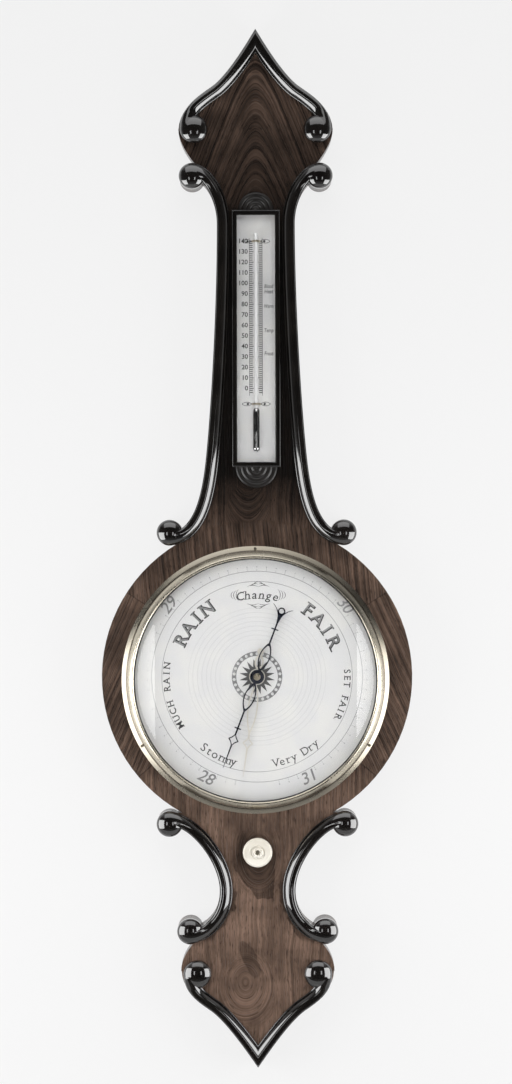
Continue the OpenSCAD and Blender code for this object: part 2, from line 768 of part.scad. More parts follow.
module movement_bridge() {
    width = [-bridge_half, bridge_half];
    color(brass) stand() translate([0, dial_u, 0]) difference() {
        union() {
            slab([-leg_x[1], leg_x[1]], width, [bridge_back_d, bridge_back_d + bridge_t]);
            both_sides() {
                slab(leg_x, width, [bridge_back_d, dial_back_d]);
                slab([leg_x[0], foot_x], width, [dial_back_d - foot_t, dial_back_d]);
            }
        }
        disc(arbor_r + run_gap, bridge_back_d - 1, bridge_back_d + bridge_t + 1);
        both_sides() translate([foot_screw_x, 0, dial_back_d]) disc(screw_r + snug, -foot_t - 1, 1);
    }
}

module movement_screws() {
    color(brass) stand() {
        translate([0, dial_u, 0]) for (p = movement_screw_places) translate(p) {
            disc(movement_head_r, -foot_t - movement_head_t, -foot_t);
            disc(screw_r, -foot_t - tiny, dial_t - 0.4);
        }
        for (s = [-1, 1]) translate([s * bracket_screw_x, low_bracket_u, cavity_d]) {
            disc(movement_head_r, -foot_t - movement_head_t, -foot_t);
            disc(screw_r, -foot_t - tiny, front_wall - 1.5);
        }
    }
}

module rod_bracket(level, seat) {
    difference() {
        union() {
            slab([-bracket_half, bracket_half], [level - ear_h, level + ear_h], [seat - foot_t, seat]);
            slab([-3.4, 3.4], [level - ear_h / 2, level + ear_h / 2], [rod_d, seat]);
            upright(0, rod_d, 3.4, level - ear_h / 2, level + ear_h / 2);
        }
        upright(0, rod_d, rod_r + run_gap, level - ear_h, level + ear_h);
        both_sides() translate([bracket_screw_x, level, seat]) disc(screw_r + snug, -foot_t - 1, 1);
    }
}

module rod_brackets() {
    color(brass) stand() {
        rod_bracket(dial_u + bracket_level, dial_back_d);
        rod_bracket(low_bracket_u, cavity_d);
    }
}

module knob_bush() {
    color(brass) stand() translate([0, knob_u, 0])
        ring(knob_bush_r, knob_arbor_r + run_gap, cavity_d, face_d + 0.4);
}

// Shape inside or outside the siphon: two limbs and the bend that joins them
module siphon(r, long_top, short_top) {
    upright(-limb_x, tube_d, r, bend_u, long_top);
    upright(pulley_r, tube_d, r, bend_u, short_top);
    translate([bend_x, bend_u, tube_d]) rotate(180)
        rotate_extrude(angle = 180) translate([bend_r, 0]) circle(r);
}

module siphon_tube() {
    color(clear) stand() difference() {
        union() {
            siphon(tube_r, tube_top - tube_r, mouth_u);
            translate([-limb_x, tube_top - tube_r, tube_d]) sphere(tube_r);
        }
        siphon(bore_r, tube_top - tube_r, mouth_u + 1);
    }
}

module siphon_mercury() { color(quicksilver) stand() siphon(bore_r - snug, high_level_u, fixed_level_u); }

module float_mercury() {
    color(quicksilver) stand() upright(pulley_r, tube_d, bore_r - snug, fixed_level_u, low_level_u);
}

module counterweight_tube() {
    color(clear) stand() difference() {
        upright(-pulley_r, tube_d, counter_tube_r, counter_low_u, counter_high_u);
        upright(-pulley_r, tube_d, counter_bore_r, counter_low_u + 2, counter_high_u + 1);
    }
}

module tube_straps() {
    color(pine) stand() for (s = strap_levels)
        slab(strap_span(s[1]), [s[0] - strap_h / 2, s[0] + strap_h / 2], [strap_d, strap_d + strap_t]);
}

// Cork pads between the tubes and the wood in front of them, and under the bend
module tube_corks() {
    pad_half = 3.2;
    color(cork) stand() {
        for (s = strap_levels) {
            level = [s[0] - strap_h / 2, s[0] + strap_h / 2];
            wood_d = s[1] ? groove_d : cavity_d;
            limbs = s[1] ? [-limb_x] : [-limb_x, pulley_r];
            for (x = limbs) slab([x - pad_half, x + pad_half], level, [tube_d + tube_r + cork_rest, wood_d]);
            if (!s[1]) for (d = [[strap_d + strap_t, tube_d - counter_tube_r - cork_rest],
                    [tube_d + counter_tube_r + cork_rest, wood_d]])
                slab([-pulley_r - pad_half, -pulley_r + pad_half], level, d);
        }
        slab([bend_x - 8, bend_x + 8], [channel_low, bend_u - bend_r - tube_r - cork_rest],
            [tube_d - 6, tube_d + 6]);
        slab([-limb_x - 4, -limb_x + 4], [tube_top + cork_rest, groove_top], [tube_d - 5, tube_d + 5]);
    }
}

module hanging_plate() {
    color(brass) stand() difference() {
        slab([-hang_half_w + 0.1, hang_half_w - 0.1], [-hang_half_h + 0.1, hang_half_h - 0.1], [0, hang_t]);
        disc(hang_r, -1, hang_t + 1);
        screw_holes(hang_screws);
    }
}

module case_screws() {
    color(brass) stand() wood_screws(back_screws);
}

module back_slip_upper() {
    color(pine) stand() difference() {
        upper_slip(0);
        screw_holes(upper_slip_screws);
    }
}

module back_slip_lower() {
    color(pine) stand() difference() {
        lower_slip(0);
        screw_holes(lower_slip_screws);
    }
}

// Hinges: the case's knuckle is the middle third, the door's are the outer two
module knuckles(u, spans) {
    for (s = spans) upright(hinge_x, hinge_d, knuckle_r, u + s[0], u + s[1]);
}

module hinge_leaf(u, side, own, other, bore_gap) {
    leaf_d = [door_back_d - leaf_t, door_back_d];
    x = side > 0 ? [hinge_x, hinge_x + leaf_w] : [hinge_x - leaf_w - 0.5, hinge_x];
    difference() {
        union() {
            slab(x, [u - hinge_len / 2, u + hinge_len / 2], leaf_d);
            knuckles(u, own);
        }
        for (s = other)
            upright(hinge_x, hinge_d, knuckle_r + fit_gap, u + s[0] - knuckle_gap, u + s[1] + knuckle_gap);
        upright(hinge_x, hinge_d, hinge_pin_r + bore_gap, u - hinge_len, u + hinge_len);
    }
}

module hinge_case_leaves() {
    color(brass) stand() for (u = hinge_levels) hinge_leaf(u, 1, case_spans, door_spans, snug);
}

module hinge_door_leaves() {
    color(brass) stand() for (u = hinge_levels) hinge_leaf(u, -1, door_spans, case_spans, run_gap);
}

module hinge_pins() {
    color(brass) stand() for (u = hinge_levels)
        upright(hinge_x, hinge_d, hinge_pin_r, u - hinge_len / 2, u + hinge_len / 2);
}

module button_screw() {
    color(brass) stand() translate([button_x, dial_u, 0]) {
        disc(screw_head_r, button_d[0] - 0.9, button_d[0] - 0.1);
        disc(screw_r, button_d[0] - 0.1 - tiny, button_pocket_d + screw_len - 1);
    }
}

// Flat outlines of the two hands, pointing up, and their place on the dial
module on_dial(depth, angle, bore) {
    stand() translate([0, dial_u, depth]) difference() {
        rotate(-angle) for (i = [0:$children - 1]) linear_extrude(hand_t) children(i);
        disc(bore, -1, hand_t + 1);
    }
}

module lens(y0, y1, half) {
    reach = (y1 - y0) / 2;
    r = (reach * reach + half * half) / (2 * half);
    translate([0, (y0 + y1) / 2]) intersection() {
        translate([half - r, 0]) circle(r, $fn = 128);
        translate([r - half, 0]) circle(r, $fn = 128);
    }
}

module loop(y0, y1, half, width) {
    difference() {
        lens(y0, y1, half);
        lens(y0 + 2.6 * width, y1 - 2.6 * width, half - width);
    }
}

module bar(y0, y1, width) { translate([-width / 2, y0]) square([width, y1 - y0]); }

// Diamond with hollowed sides
module star(y0, y1, half) {
    mid = (y0 + y1) / 2;
    hollow = 0.6;
    polygon([for (a = [0:45:315]) let (k = a % 90 == 0 ? 1 : hollow)
        [k * half * sin(a), mid + k * (y1 - mid) * cos(a)]]);
}

module open_diamond(y0, y1, half) {
    line = 1.9;
    difference() {
        star(y0, y1, half);
        star(y0 + line, y1 - line, half * (1 - 2 * line / (y1 - y0)));
    }
}

// Horn that leaves a stalk at a level and curves away to the right, thinning to its tip
module horn(level, bend_r, sweep) {
    side = function (a, s) let (w = 1.7 - 1.2 * a / sweep) (bend_r + s * w / 2) * [-cos(a), sin(a)];
    step = sweep / 8;
    translate([bend_r, level]) polygon(concat(
        [for (a = [0:step:sweep]) side(a, 1)], [for (a = [sweep:-step:0]) side(a, -1)]));
}

module needle(y0, y1, width) { polygon([[-width / 2, y0], [width / 2, y0], [0.2, y1], [-0.2, y1]]); }

module pressure_hand() {
    tail = 58;
    cross_bars = [[56, 6.8], [-51.8, 7.4]];
    tail_ring_r = 3.8;
    tail_ring_u = 71.4;
    crotch_u = tail_ring_u - 2.4;
    color(blued) on_dial(hand_d, hand_angle, arbor_r + press_gap) {
        circle(hub_r);
        loop(hub_r - 1, loop_end, 5.8, 1.2);
        bar(loop_end - 4, diamond[0] + 1, stalk_w);
        open_diamond(diamond[0], diamond[1], 5.6);
        needle(diamond[1] - 1, hand_reach, stalk_w);
        for (c = cross_bars) translate([-c[1] / 2, c[0] - 0.65]) square([c[1], 1.3]);
        rotate(180) loop(hub_r - 1, loop_end - 1, 5.8, 1.2);
        rotate(180) bar(loop_end - 5, tail + 1, stalk_w);
        rotate(180) horn(tail, 20.6, 61);
        rotate(180) mirror([1, 0]) horn(tail, 20.6, 61);
        rotate(180) polygon([[-0.8, tail], [0.8, tail], [2.6, crotch_u], [-2.6, crotch_u]]);
        translate([0, -tail_ring_u]) difference() {
            circle(tail_ring_r);
            circle(tail_ring_r - 1.3);
        }
    }
}

module hand_cap() {
    cap_d = hand_d + hand_t;
    color(brass) stand() translate([0, dial_u, 0]) difference() {
        union() {
            disc(3.6, cap_d, cap_d + 0.9);
            disc(2.4, cap_d, cap_d + 1.7);
        }
        disc(arbor_r + press_gap, cap_d - 1, cap_d + 1);
    }
}

module hand_arbor() {
    shoulder_d = pipe_back_d - end_play;
    color(blued) stand() translate([0, dial_u, 0]) {
        disc(arbor_r, bridge_back_d + 0.2, hand_d + hand_t + 1);
        disc(pipe_r, shoulder_d - 1.5, shoulder_d);
    }
}

module thread_pulley() {
    cheek = 0.9;
    half_t = 2.1;
    hub_back = bridge_back_d + bridge_t + end_play - tube_d;
    color(brass) stand() translate([0, dial_u, tube_d]) difference() {
        union() {
            disc(pulley_r - thread_r - snug, -half_t, half_t);
            disc(pulley_r + 1.6, -half_t, cheek - half_t);
            disc(pulley_r + 1.6, half_t - cheek, half_t);
            disc(3, hub_back, half_t + 1.4);
        }
        disc(arbor_r + press_gap, hub_back - 1, half_t + 2);
    }
}

module set_hand() {
    color(brass) on_dial(set_hand_d, set_angle, pipe_r + press_gap) {
        circle(set_hub_r);
        loop(set_hub_r - 2, 60, 5.2, 1.3);
        bar(55, diamond[0] + 1, stalk_w);
        open_diamond(diamond[0], diamond[1], 5.6);
        needle(diamond[1] - 1, set_hand_reach, stalk_w);
        rotate(180) loop(set_hub_r - 2, 24, 4.6, 1.3);
        translate([0, -26]) circle(3.4);
    }
}

module set_pipe() {
    color(brass) stand() translate([0, dial_u, 0]) {
        ring(pipe_r, arbor_r + run_gap, pipe_back_d, set_hand_d + hand_t + 0.6);
        ring(pipe_r + 1.2, pipe_r - tiny, bush_front_d + end_play, set_hand_d);
    }
}

// Contrate wheel: teeth stand on its back, with a gap at the given end of the centre line
module contrate_wheel(hub_bore, gap_angle, hub_end_d) {
    difference() {
        union() {
            disc(crown_rim_r, crown_base_d, crown_base_d + crown_t);
            disc(4, crown_base_d, hub_end_d);
            for (i = [0:wheel_teeth - 1]) rotate(gap_angle + (i + 0.5) * 360 / wheel_teeth)
                translate([wheel_r - face_w / 2, -tooth_t / 2, crown_tip_d])
                    cube([face_w, tooth_t, crown_base_d - crown_tip_d + tiny]);
        }
        disc(hub_bore, crown_tip_d - 1, hub_end_d + 1);
    }
}

module set_wheel() {
    color(brass) stand() translate([0, dial_u, 0])
        contrate_wheel(pipe_r + press_gap, -90, bush_flange_d - end_play);
}

module set_rod() {
    collar_r = rod_r + 0.9;
    collar_h = 1.6;
    ear = dial_u + bracket_level;
    low_end = knob_u + wheel_r - face_w / 2 - 0.4;
    top_end = dial_u - wheel_r + face_w / 2 + 0.4;
    color(blued) stand() {
        upright(0, rod_d, rod_r, low_end, top_end);
        for (s = [-1, 1]) {
            near = ear + s * (ear_h / 2 + 0.2);
            upright(0, rod_d, collar_r, min(near, near + s * collar_h), max(near, near + s * collar_h));
        }
    }
}

// Pinion with one tooth towards the contrate wheels
module rod_pinion(level) {
    translate([0, level, rod_d]) rotate([-90, 0, 0]) difference() {
        union() {
            cylinder(r = pinion_root_r, h = face_w, center = true);
            for (i = [0:pinion_teeth - 1]) rotate(-90 + i * 360 / pinion_teeth)
                translate([pinion_root_r - 0.3, -tooth_t / 2, -face_w / 2])
                    cube([pinion_tip_r - pinion_root_r + 0.3, tooth_t, face_w]);
        }
        cylinder(r = rod_r + press_gap, h = 2 * face_w, center = true);
    }
}

module rod_pinions() {
    color(brass) stand() {
        rod_pinion(dial_u - wheel_r);
        rod_pinion(knob_u + wheel_r);
    }
}

module set_knob() {
    back_d = face_d + 0.4 + end_play;
    knob_t = 11;
    eye_r = 2.4;
    color(bone) stand() translate([0, knob_u, back_d]) difference() {
        rotate_extrude() polygon(concat([[0, 0], [knob_r - 4, 0], [knob_r - 3.4, 3]],
            [for (a = [-60:20:90]) [knob_r - 2.2 + 2.2 * cos(a), 6.4 + 2.2 * sin(a)]],
            [[knob_r - 3.6, 8.3], [knob_r * 0.6, 8.9], [7, 9], [6.4, 8.3], [5.6, 8.4], [5, 9.8]],
            [[4, knob_t], [eye_r + 0.6, knob_t], [0, knob_t]]));
        disc(knob_arbor_r + press_gap, -1, knob_t - 2);
        disc(eye_r, knob_t - 1.4, knob_t + 1);
    }
}

module knob_arbor() {
    color(brass) stand() translate([0, knob_u, 0]) disc(knob_arbor_r, crown_base_d - 0.4, face_d + 9.2);
}

module knob_wheel() {
    color(brass) stand() translate([0, knob_u, 0])
        contrate_wheel(knob_arbor_r + press_gap, 90, cavity_d - end_play);
}

module float_weight() {
    color(clear) stand() upright(pulley_r, tube_d, float_r, low_level_u + snug, low_level_u + float_h);
}

module float_thread() {
    color(linen) stand() upright(pulley_r, tube_d, thread_r, low_level_u + float_h, dial_u);
}

module counterweight() {
    color(clear) stand() upright(-pulley_r, tube_d, counter_r, counter_rest_u - counter_h, counter_rest_u);
}

module counter_thread() {
    color(linen) stand() upright(-pulley_r, tube_d, thread_r, counter_rest_u, dial_u);
}

module back_door() {
    color(pine) stand()
        slab([-door_w / 2, door_w / 2 - 0.2], [door_low, door_high], [door_back_d, door_front_d]);
}

module door_button() {
    color(brass) stand() translate([button_x, dial_u, 0]) difference() {
        union() {
            disc(button_half, button_d[0], button_d[1]);
            slab([-2.4, 2.4], [0, button_reach - 2.4], button_d);
            translate([0, button_reach - 2.4, 0]) disc(2.4, button_d[0], button_d[1]);
        }
        disc(screw_r + run_gap, 0, door_back_d + 1);
    }
}

case_carcass();
front_veneer();
crest_moulding_left();
crest_moulding_right();
trunk_moulding_left();
trunk_moulding_right();
waist_moulding_left();
waist_moulding_right();
base_moulding_left();
base_moulding_right();
fan_ornaments();
thermometer_frame();
thermometer_glass();
thermometer_scale();
thermometer_tube();
thermometer_mercury();
thermometer_clips();
dial_plate();
dial_bush();
bezel();
dial_glass();
glass_putty();
bezel_pins();
movement_bridge();
movement_screws();
rod_brackets();
knob_bush();
siphon_tube();
siphon_mercury();
float_mercury();
counterweight_tube();
tube_straps();
tube_corks();
hanging_plate();
case_screws();
back_slip_upper();
back_slip_lower();
hinge_case_leaves();
hinge_pins();
button_screw();
pressure_hand();
hand_cap();
hand_arbor();
thread_pulley();
set_hand();
set_pipe();
set_wheel();
set_rod();
rod_pinions();
set_knob();
knob_arbor();
knob_wheel();
float_weight();
float_thread();
counterweight();
counter_thread();
back_door();
hinge_door_leaves();
door_button();
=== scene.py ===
# %% [markdown]
# A wheel barometer: a flat, scrolled rosewood case with black mouldings, a thermometer in its trunk
# and a big silvered dial under convex glass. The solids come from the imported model, and this lesson
# gives them their finishes and replaces the pieces whose roundness or engraving a plain solid can't show.

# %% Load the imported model
import json
import math

import bmesh
import bpy
from mathutils import Matrix, Vector


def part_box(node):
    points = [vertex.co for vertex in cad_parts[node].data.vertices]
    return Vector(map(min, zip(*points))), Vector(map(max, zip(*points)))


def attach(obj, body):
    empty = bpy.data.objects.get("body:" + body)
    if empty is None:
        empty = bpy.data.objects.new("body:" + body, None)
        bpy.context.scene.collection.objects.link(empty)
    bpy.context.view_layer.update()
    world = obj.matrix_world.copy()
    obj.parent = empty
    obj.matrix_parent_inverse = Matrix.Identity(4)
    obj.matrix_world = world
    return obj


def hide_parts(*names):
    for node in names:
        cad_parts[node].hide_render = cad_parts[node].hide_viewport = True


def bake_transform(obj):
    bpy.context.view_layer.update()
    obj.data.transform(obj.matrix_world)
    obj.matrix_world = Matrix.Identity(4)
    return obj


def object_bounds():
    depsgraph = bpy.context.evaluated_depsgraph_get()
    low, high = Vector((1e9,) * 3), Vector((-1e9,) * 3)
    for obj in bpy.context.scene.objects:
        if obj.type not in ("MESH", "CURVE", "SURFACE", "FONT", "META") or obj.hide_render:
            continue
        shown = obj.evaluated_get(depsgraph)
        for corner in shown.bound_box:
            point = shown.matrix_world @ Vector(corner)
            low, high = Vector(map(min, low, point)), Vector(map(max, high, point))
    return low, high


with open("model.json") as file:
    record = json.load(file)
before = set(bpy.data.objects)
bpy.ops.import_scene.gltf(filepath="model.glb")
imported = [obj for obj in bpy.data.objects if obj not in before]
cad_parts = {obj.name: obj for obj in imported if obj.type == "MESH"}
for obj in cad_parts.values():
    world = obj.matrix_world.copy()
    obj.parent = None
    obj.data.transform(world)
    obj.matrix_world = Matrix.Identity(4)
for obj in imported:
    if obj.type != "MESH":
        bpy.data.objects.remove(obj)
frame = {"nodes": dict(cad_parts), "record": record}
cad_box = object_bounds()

nodes = frame["nodes"]
scene = bpy.context.scene
print("nodes:", len(nodes), "box:", [tuple(round(c, 4) for c in corner) for corner in cad_box])

# %% [markdown]
# Every later piece is placed from the solids that carry it, so the places are read from their boxes.
# The front of the case faces -Y. Depth is counted from the wall towards the viewer, so it is -y.

# %% Places on the case
def at(x, u, d):
    """A point from its place across, up and out from the wall."""
    return Vector((x, -d, u))


def front_of(name):
    return -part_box(name)[0].y


def half_width(low, high):
    return (high.x - low.x) / 2


def middle_u(low, high):
    return (low.z + high.z) / 2


face_d = front_of("front_veneer")
dial_u = middle_u(*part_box("dial_bush"))
dial_d = front_of("dial_plate")
dial_centre = at(0, dial_u, 0)
bezel_low, bezel_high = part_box("bezel")
bezel_r = half_width(bezel_low, bezel_high)
bezel_d = -bezel_low.y
opening_centre = at((bezel_low.x + bezel_high.x) / 2, middle_u(bezel_low, bezel_high), 0)
rim_r = half_width(*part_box("dial_glass"))
frame_low, frame_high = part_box("thermometer_frame")
thermo_u = middle_u(frame_low, frame_high)
scale_d = front_of("thermometer_scale")
knob_low, knob_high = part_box("set_knob")
knob_u = middle_u(knob_low, knob_high)
print("dial at", round(dial_u, 4), "face depth", round(face_d, 4), "knob at", round(knob_u, 4))

# %% [markdown]
# The photograph is taken straight on with a long lens, so the sides of the case hardly show. A camera
# three and a half metres away gives the same flat view. The tiny roll follows the photograph's tilt.

# %% Camera
def add_object(name, data):
    made = bpy.data.objects.new(name, data)
    scene.collection.objects.link(made)
    return made


camera_distance = 3.5
view_height = 1.106
view_x, view_u = -0.0007, -0.4225
photo_tilt = 0.0028
sensor = 36.0
camera_data = bpy.data.cameras.new("camera")
camera_data.sensor_width = sensor
camera_data.lens = sensor * camera_distance / view_height
camera = add_object("camera", camera_data)
camera.location = at(view_x, view_u, face_d + camera_distance)
camera.rotation_euler = (math.pi / 2, photo_tilt, 0)
scene.camera = camera
print("lens", round(camera_data.lens, 1))

# %% [markdown]
# Shaders are small graphs of nodes. A Value stands for one output of a node, and a sum written with
# Values adds the Math nodes that work it out, so that a finish reads like the sum on paper. The other
# helpers each add one kind of node: a mix, a smooth step, a ramp of greys, noise or a group.

# %% Helpers for shader graphs: nodes and sums
class Value:
    """One output of a node. A sum written with it adds a Math node."""

    def __init__(self, socket):
        self.socket = socket

    def __add__(self, other):
        return calc("ADD", self, other)

    def __sub__(self, other):
        return calc("SUBTRACT", self, other)

    def __mul__(self, other):
        return calc("MULTIPLY", self, other)

    def __truediv__(self, other):
        return calc("DIVIDE", self, other)

    def __pow__(self, other):
        return calc("POWER", self, other)

    def __abs__(self):
        return calc("ABSOLUTE", self)


class Outputs:
    """The outputs of a node by name or number, each as a Value."""

    def __init__(self, made):
        self.made = made

    def __getitem__(self, key):
        return Value(self.made.outputs[key])


def feed(socket, value):
    """Links a Value into an input, or sets the input's own value."""
    if isinstance(value, Value):
        socket.id_data.links.new(value.socket, socket)
    else:
        socket.default_value = value


def node(tree, kind, inputs=None, **settings):
    made = tree.nodes.new(kind)
    for name, value in settings.items():
        setattr(made, name, value)
    for name, value in (inputs or {}).items():
        feed(made.inputs[name], value)
    return Outputs(made)


def graph_of(*values):
    """The graph that holds the first Value among some values."""
    return next(value.socket.id_data for value in values if isinstance(value, Value))


def calc(operation, *values):
    return node(graph_of(*values), "ShaderNodeMath", dict(enumerate(values)), operation=operation)[0]


def vector_calc(operation, *vectors):
    return node(graph_of(*vectors), "ShaderNodeVectorMath", dict(enumerate(vectors)), operation=operation)


def distance_of(across, up):
    """How far off a place is, from its distance across and up."""
    return calc("SQRT", across ** 2.0 + up ** 2.0)


def parts_of(vector):
    """The X, Y and Z of a vector."""
    return node(graph_of(vector), "ShaderNodeSeparateXYZ", {"Vector": vector})


print("nodes and sums ready")

# %% Helpers for shader graphs: colours, patterns and groups
def grey(level):
    return (level, level, level, 1)


def tint(red, green, blue):
    return (red, green, blue, 1)


def blend(factor, first, second, kind="MIX"):
    tree = graph_of(factor, first, second)
    inputs = {0: factor, 6: first, 7: second}
    return node(tree, "ShaderNodeMix", inputs, data_type="RGBA", blend_type=kind)[2]


def glaze(tone, by):
    """A colour times another, as a glaze over paint."""
    return blend(1.0, tone, by, "MULTIPLY")


def darken(tone, mask, depth, level):
    """A colour that goes down to a share of itself where the mask is 1, as deep as the depth says."""
    return blend(mask * depth, tone, glaze(tone, grey(level)))


def step_up(value, low, high):
    """Rises smoothly from 0 at low to 1 at high."""
    return node(graph_of(value), "ShaderNodeMapRange", {"Value": value, "From Min": low, "From Max": high},
                interpolation_type="SMOOTHSTEP")[0]


def ramp(value, stops):
    """Turns a value from 0 to 1 into greys, by stops of (place, level)."""
    outputs = node(graph_of(value), "ShaderNodeValToRGB", {"Fac": value})
    elements = outputs.made.color_ramp.elements
    elements[0].position, elements[1].position = stops[0][0], stops[-1][0]
    elements[0].color, elements[1].color = grey(stops[0][1]), grey(stops[-1][1])
    for place, level in stops[1:-1]:
        elements.new(place).color = grey(level)
    return outputs["Color"]


def noise(place, scale, detail, dimensions="3D", roughness=0.5):
    """Cloudy noise over a vector, or along one value."""
    entry = "W" if dimensions == "1D" else "Vector"
    inputs = {entry: place, "Scale": scale, "Detail": detail, "Roughness": roughness}
    return node(graph_of(place), "ShaderNodeTexNoise", inputs, noise_dimensions=dimensions)[0]


def new_group(name, outputs, **amounts):
    """A group that reads a vector and some amounts. Gives it with its entry and the inputs of its exit."""
    tree = bpy.data.node_groups.new(name, "ShaderNodeTree")
    tree.interface.new_socket("Vector", in_out="INPUT", socket_type="NodeSocketVector")
    for socket, amount in amounts.items():
        made = tree.interface.new_socket(socket, in_out="INPUT", socket_type="NodeSocketFloat")
        made.default_value = amount
    for socket in outputs:
        tree.interface.new_socket(socket, in_out="OUTPUT", socket_type="NodeSocketFloat")
    return tree, node(tree, "NodeGroupInput"), node(tree, "NodeGroupOutput").made.inputs


def use_group(group, **inputs):
    return node(graph_of(*inputs.values()), "ShaderNodeGroup", inputs, node_tree=group)


print("colours, patterns and groups ready")

# %% [markdown]
# Wood shows broad figure, thin dark growth lines, fine fibres and pores, all drawn out along the grain.
# One group makes the four from a vector whose X runs across the grain and Z along it, so that every wooden
# piece can turn or bend its grain by bending that vector. A second group gives the faint cloudiness
# and hairlines that handling leaves on polish, brass and bone.

# %% Shared groups: grain and handling
def drawn_out(vector, width, length, low, high):
    """Noise whose specks are long along Z, from 0 to 1."""
    stretched = vector_calc("MULTIPLY", vector, (1 / width, 1 / width, 1 / length))[0]
    return step_up(noise(stretched, 1.0, 3.0), low, high)


wood_grain, entry, leave = new_group("wood_grain", ("Figure", "Lines", "Fibre", "Pores"),
                                     Spacing=0.006, Wander=0.004)
vector = entry["Vector"]
drift = (noise(vector, 18.0, 6.0) - 0.5) * entry["Wander"]
line = (parts_of(vector)[0] + drift) / entry["Spacing"]
growth_wave = calc("SINE", noise(line, 0.55, 1.5, "1D") * 16.0)
feed(leave["Figure"], step_up(noise(line, 1.0, 5.0, "1D", 0.62), 0.3, 0.7))
feed(leave["Lines"], step_up(abs(growth_wave), 0.0, 0.55))
feed(leave["Fibre"], drawn_out(vector, 0.0009, 0.03, 0.3, 0.7))
feed(leave["Pores"], drawn_out(vector, 0.0011, 0.009, 0.56, 0.68))

handling, entry, leave = new_group("handling", ("Smudge", "Hairline"))
feed(leave["Smudge"], step_up(noise(entry["Vector"], 42.0, 4.0), 0.35, 0.7))
feed(leave["Hairline"], noise(entry["Vector"], 1400.0, 2.0))
print("groups:", [g.name for g in bpy.data.node_groups])

# %% [markdown]
# A finish is a material with one Principled shader. This helper makes it and hands back the shader and
# the object coordinates, which are metres in the model's own frame. Most finishes only need a colour and
# a gloss that drift between two levels, as on anything that is handled.

# %% Starting a finish
finishes = {}
grain_strength = 0.3


def new_finish(name, **settings):
    material = bpy.data.materials.new(name)
    material.use_nodes = True
    shader = material.node_tree.nodes["Principled BSDF"]
    for socket, value in settings.items():
        shader.inputs[socket.replace("_", " ")].default_value = value
    finishes[name] = material
    return shader, node(material.node_tree, "ShaderNodeTexCoord")["Object"]


def raise_grain(shader, height, distance):
    inputs = {"Height": height, "Distance": distance, "Strength": grain_strength}
    feed(shader.inputs["Normal"], node(shader.id_data, "ShaderNodeBump", inputs)[0])


def rough_between(shader, value, low, high):
    inputs = {"Value": value, "To Min": low, "To Max": high}
    feed(shader.inputs["Roughness"], node(shader.id_data, "ShaderNodeMapRange", inputs)[0])


def handled_finish(name, dark, light, low, high, bump=0.00002, **settings):
    """Colour between dark and light, roughness between low and high."""
    shader, place = new_finish(name, **settings)
    marks = use_group(handling, Vector=place)
    feed(shader.inputs["Base Color"], blend(marks["Smudge"], tint(*dark), tint(*light)))
    rough_between(shader, marks["Smudge"], low, high)
    raise_grain(shader, marks["Hairline"], bump)


handled_finish("ebonised", (0.004, 0.0032, 0.0028), (0.008, 0.0065, 0.0055), 0.06, 0.11, bump=0.000006,
               Specular_IOR_Level=1.0, Coat_Weight=1.0, Coat_Roughness=0.06)
handled_finish("worn_black", (0.005, 0.004, 0.0035), (0.009, 0.007, 0.006), 0.3, 0.38)
handled_finish("brass", (0.7, 0.63, 0.49), (0.75, 0.68, 0.54), 0.26, 0.3, bump=0.000004, Metallic=1.0)
handled_finish("pale_brass", (0.66, 0.63, 0.56), (0.76, 0.73, 0.66), 0.3, 0.42, Metallic=0.5)
handled_finish("blued_steel", (0.012, 0.014, 0.024), (0.03, 0.032, 0.045), 0.25, 0.4, Metallic=0.6)
handled_finish("bone", (0.63, 0.59, 0.51), (0.74, 0.71, 0.64), 0.3, 0.42, Coat_Weight=0.2)
handled_finish("putty", (0.55, 0.52, 0.46), (0.66, 0.63, 0.56), 0.7, 0.9, bump=0.0002)
handled_finish("mercury", (0.62, 0.63, 0.65), (0.72, 0.73, 0.75), 0.04, 0.1, Metallic=1.0)
handled_finish("weight_glass", (0.55, 0.62, 0.6), (0.66, 0.72, 0.7), 0.05, 0.12)
handled_finish("cork", (0.24, 0.13, 0.06), (0.42, 0.26, 0.13), 0.8, 0.95, bump=0.0004)
handled_finish("thread", (0.5, 0.44, 0.32), (0.66, 0.6, 0.46), 0.8, 0.95, bump=0.0002)
print("plain finishes:", sorted(finishes))

# %% [markdown]
# Clear glass is the Principled shader with full transmission. Light has to reach the dial through it,
# so for shadow rays the glass gives way to a transparent shader.

# %% Clear glass
def show_mixed(shader, factor, first, second):
    """Shows the first of two shaders on the surface, or the second where the factor is 1."""
    mixed = node(shader.id_data, "ShaderNodeMixShader", {0: factor, 1: first, 2: second})[0]
    feed(shader.id_data.nodes["Material Output"].inputs["Surface"], mixed)
    return mixed


glass_level = 0.97
shader, place = new_finish("clear_glass", Transmission_Weight=1.0, IOR=1.45, Base_Color=grey(glass_level))
rough_between(shader, use_group(handling, Vector=place)["Smudge"], 0.0, 0.012)
shadow = node(shader.id_data, "ShaderNodeLightPath")["Is Shadow Ray"]
let_through = node(shader.id_data, "ShaderNodeBsdfTransparent", {"Color": grey(glass_level)})[0]
show_mixed(shader, shadow, Value(shader.outputs[0]), let_through)
print("glass ready")

# %% [markdown]
# The back is plain pine and the edges of the case are rosewood cut along the board. Both use the grain
# group with the grain upright, in their own colours.

# %% Plain boards
board_wander = 0.02


def board_finish(name, deep, pale, pore, low, high, spacing):
    shader, place = new_finish(name)
    grain = use_group(wood_grain, Vector=place, Spacing=spacing, Wander=board_wander)
    tone = blend(grain["Figure"], tint(*deep), tint(*pale))
    tone = blend(grain["Fibre"] * 0.35, tone, tint(*deep))
    tone = blend(grain["Pores"] * 0.8, tone, tint(*pore))
    feed(shader.inputs["Base Color"], tone)
    rough_between(shader, grain["Fibre"], low, high)
    raise_grain(shader, grain["Fibre"], 0.0001)


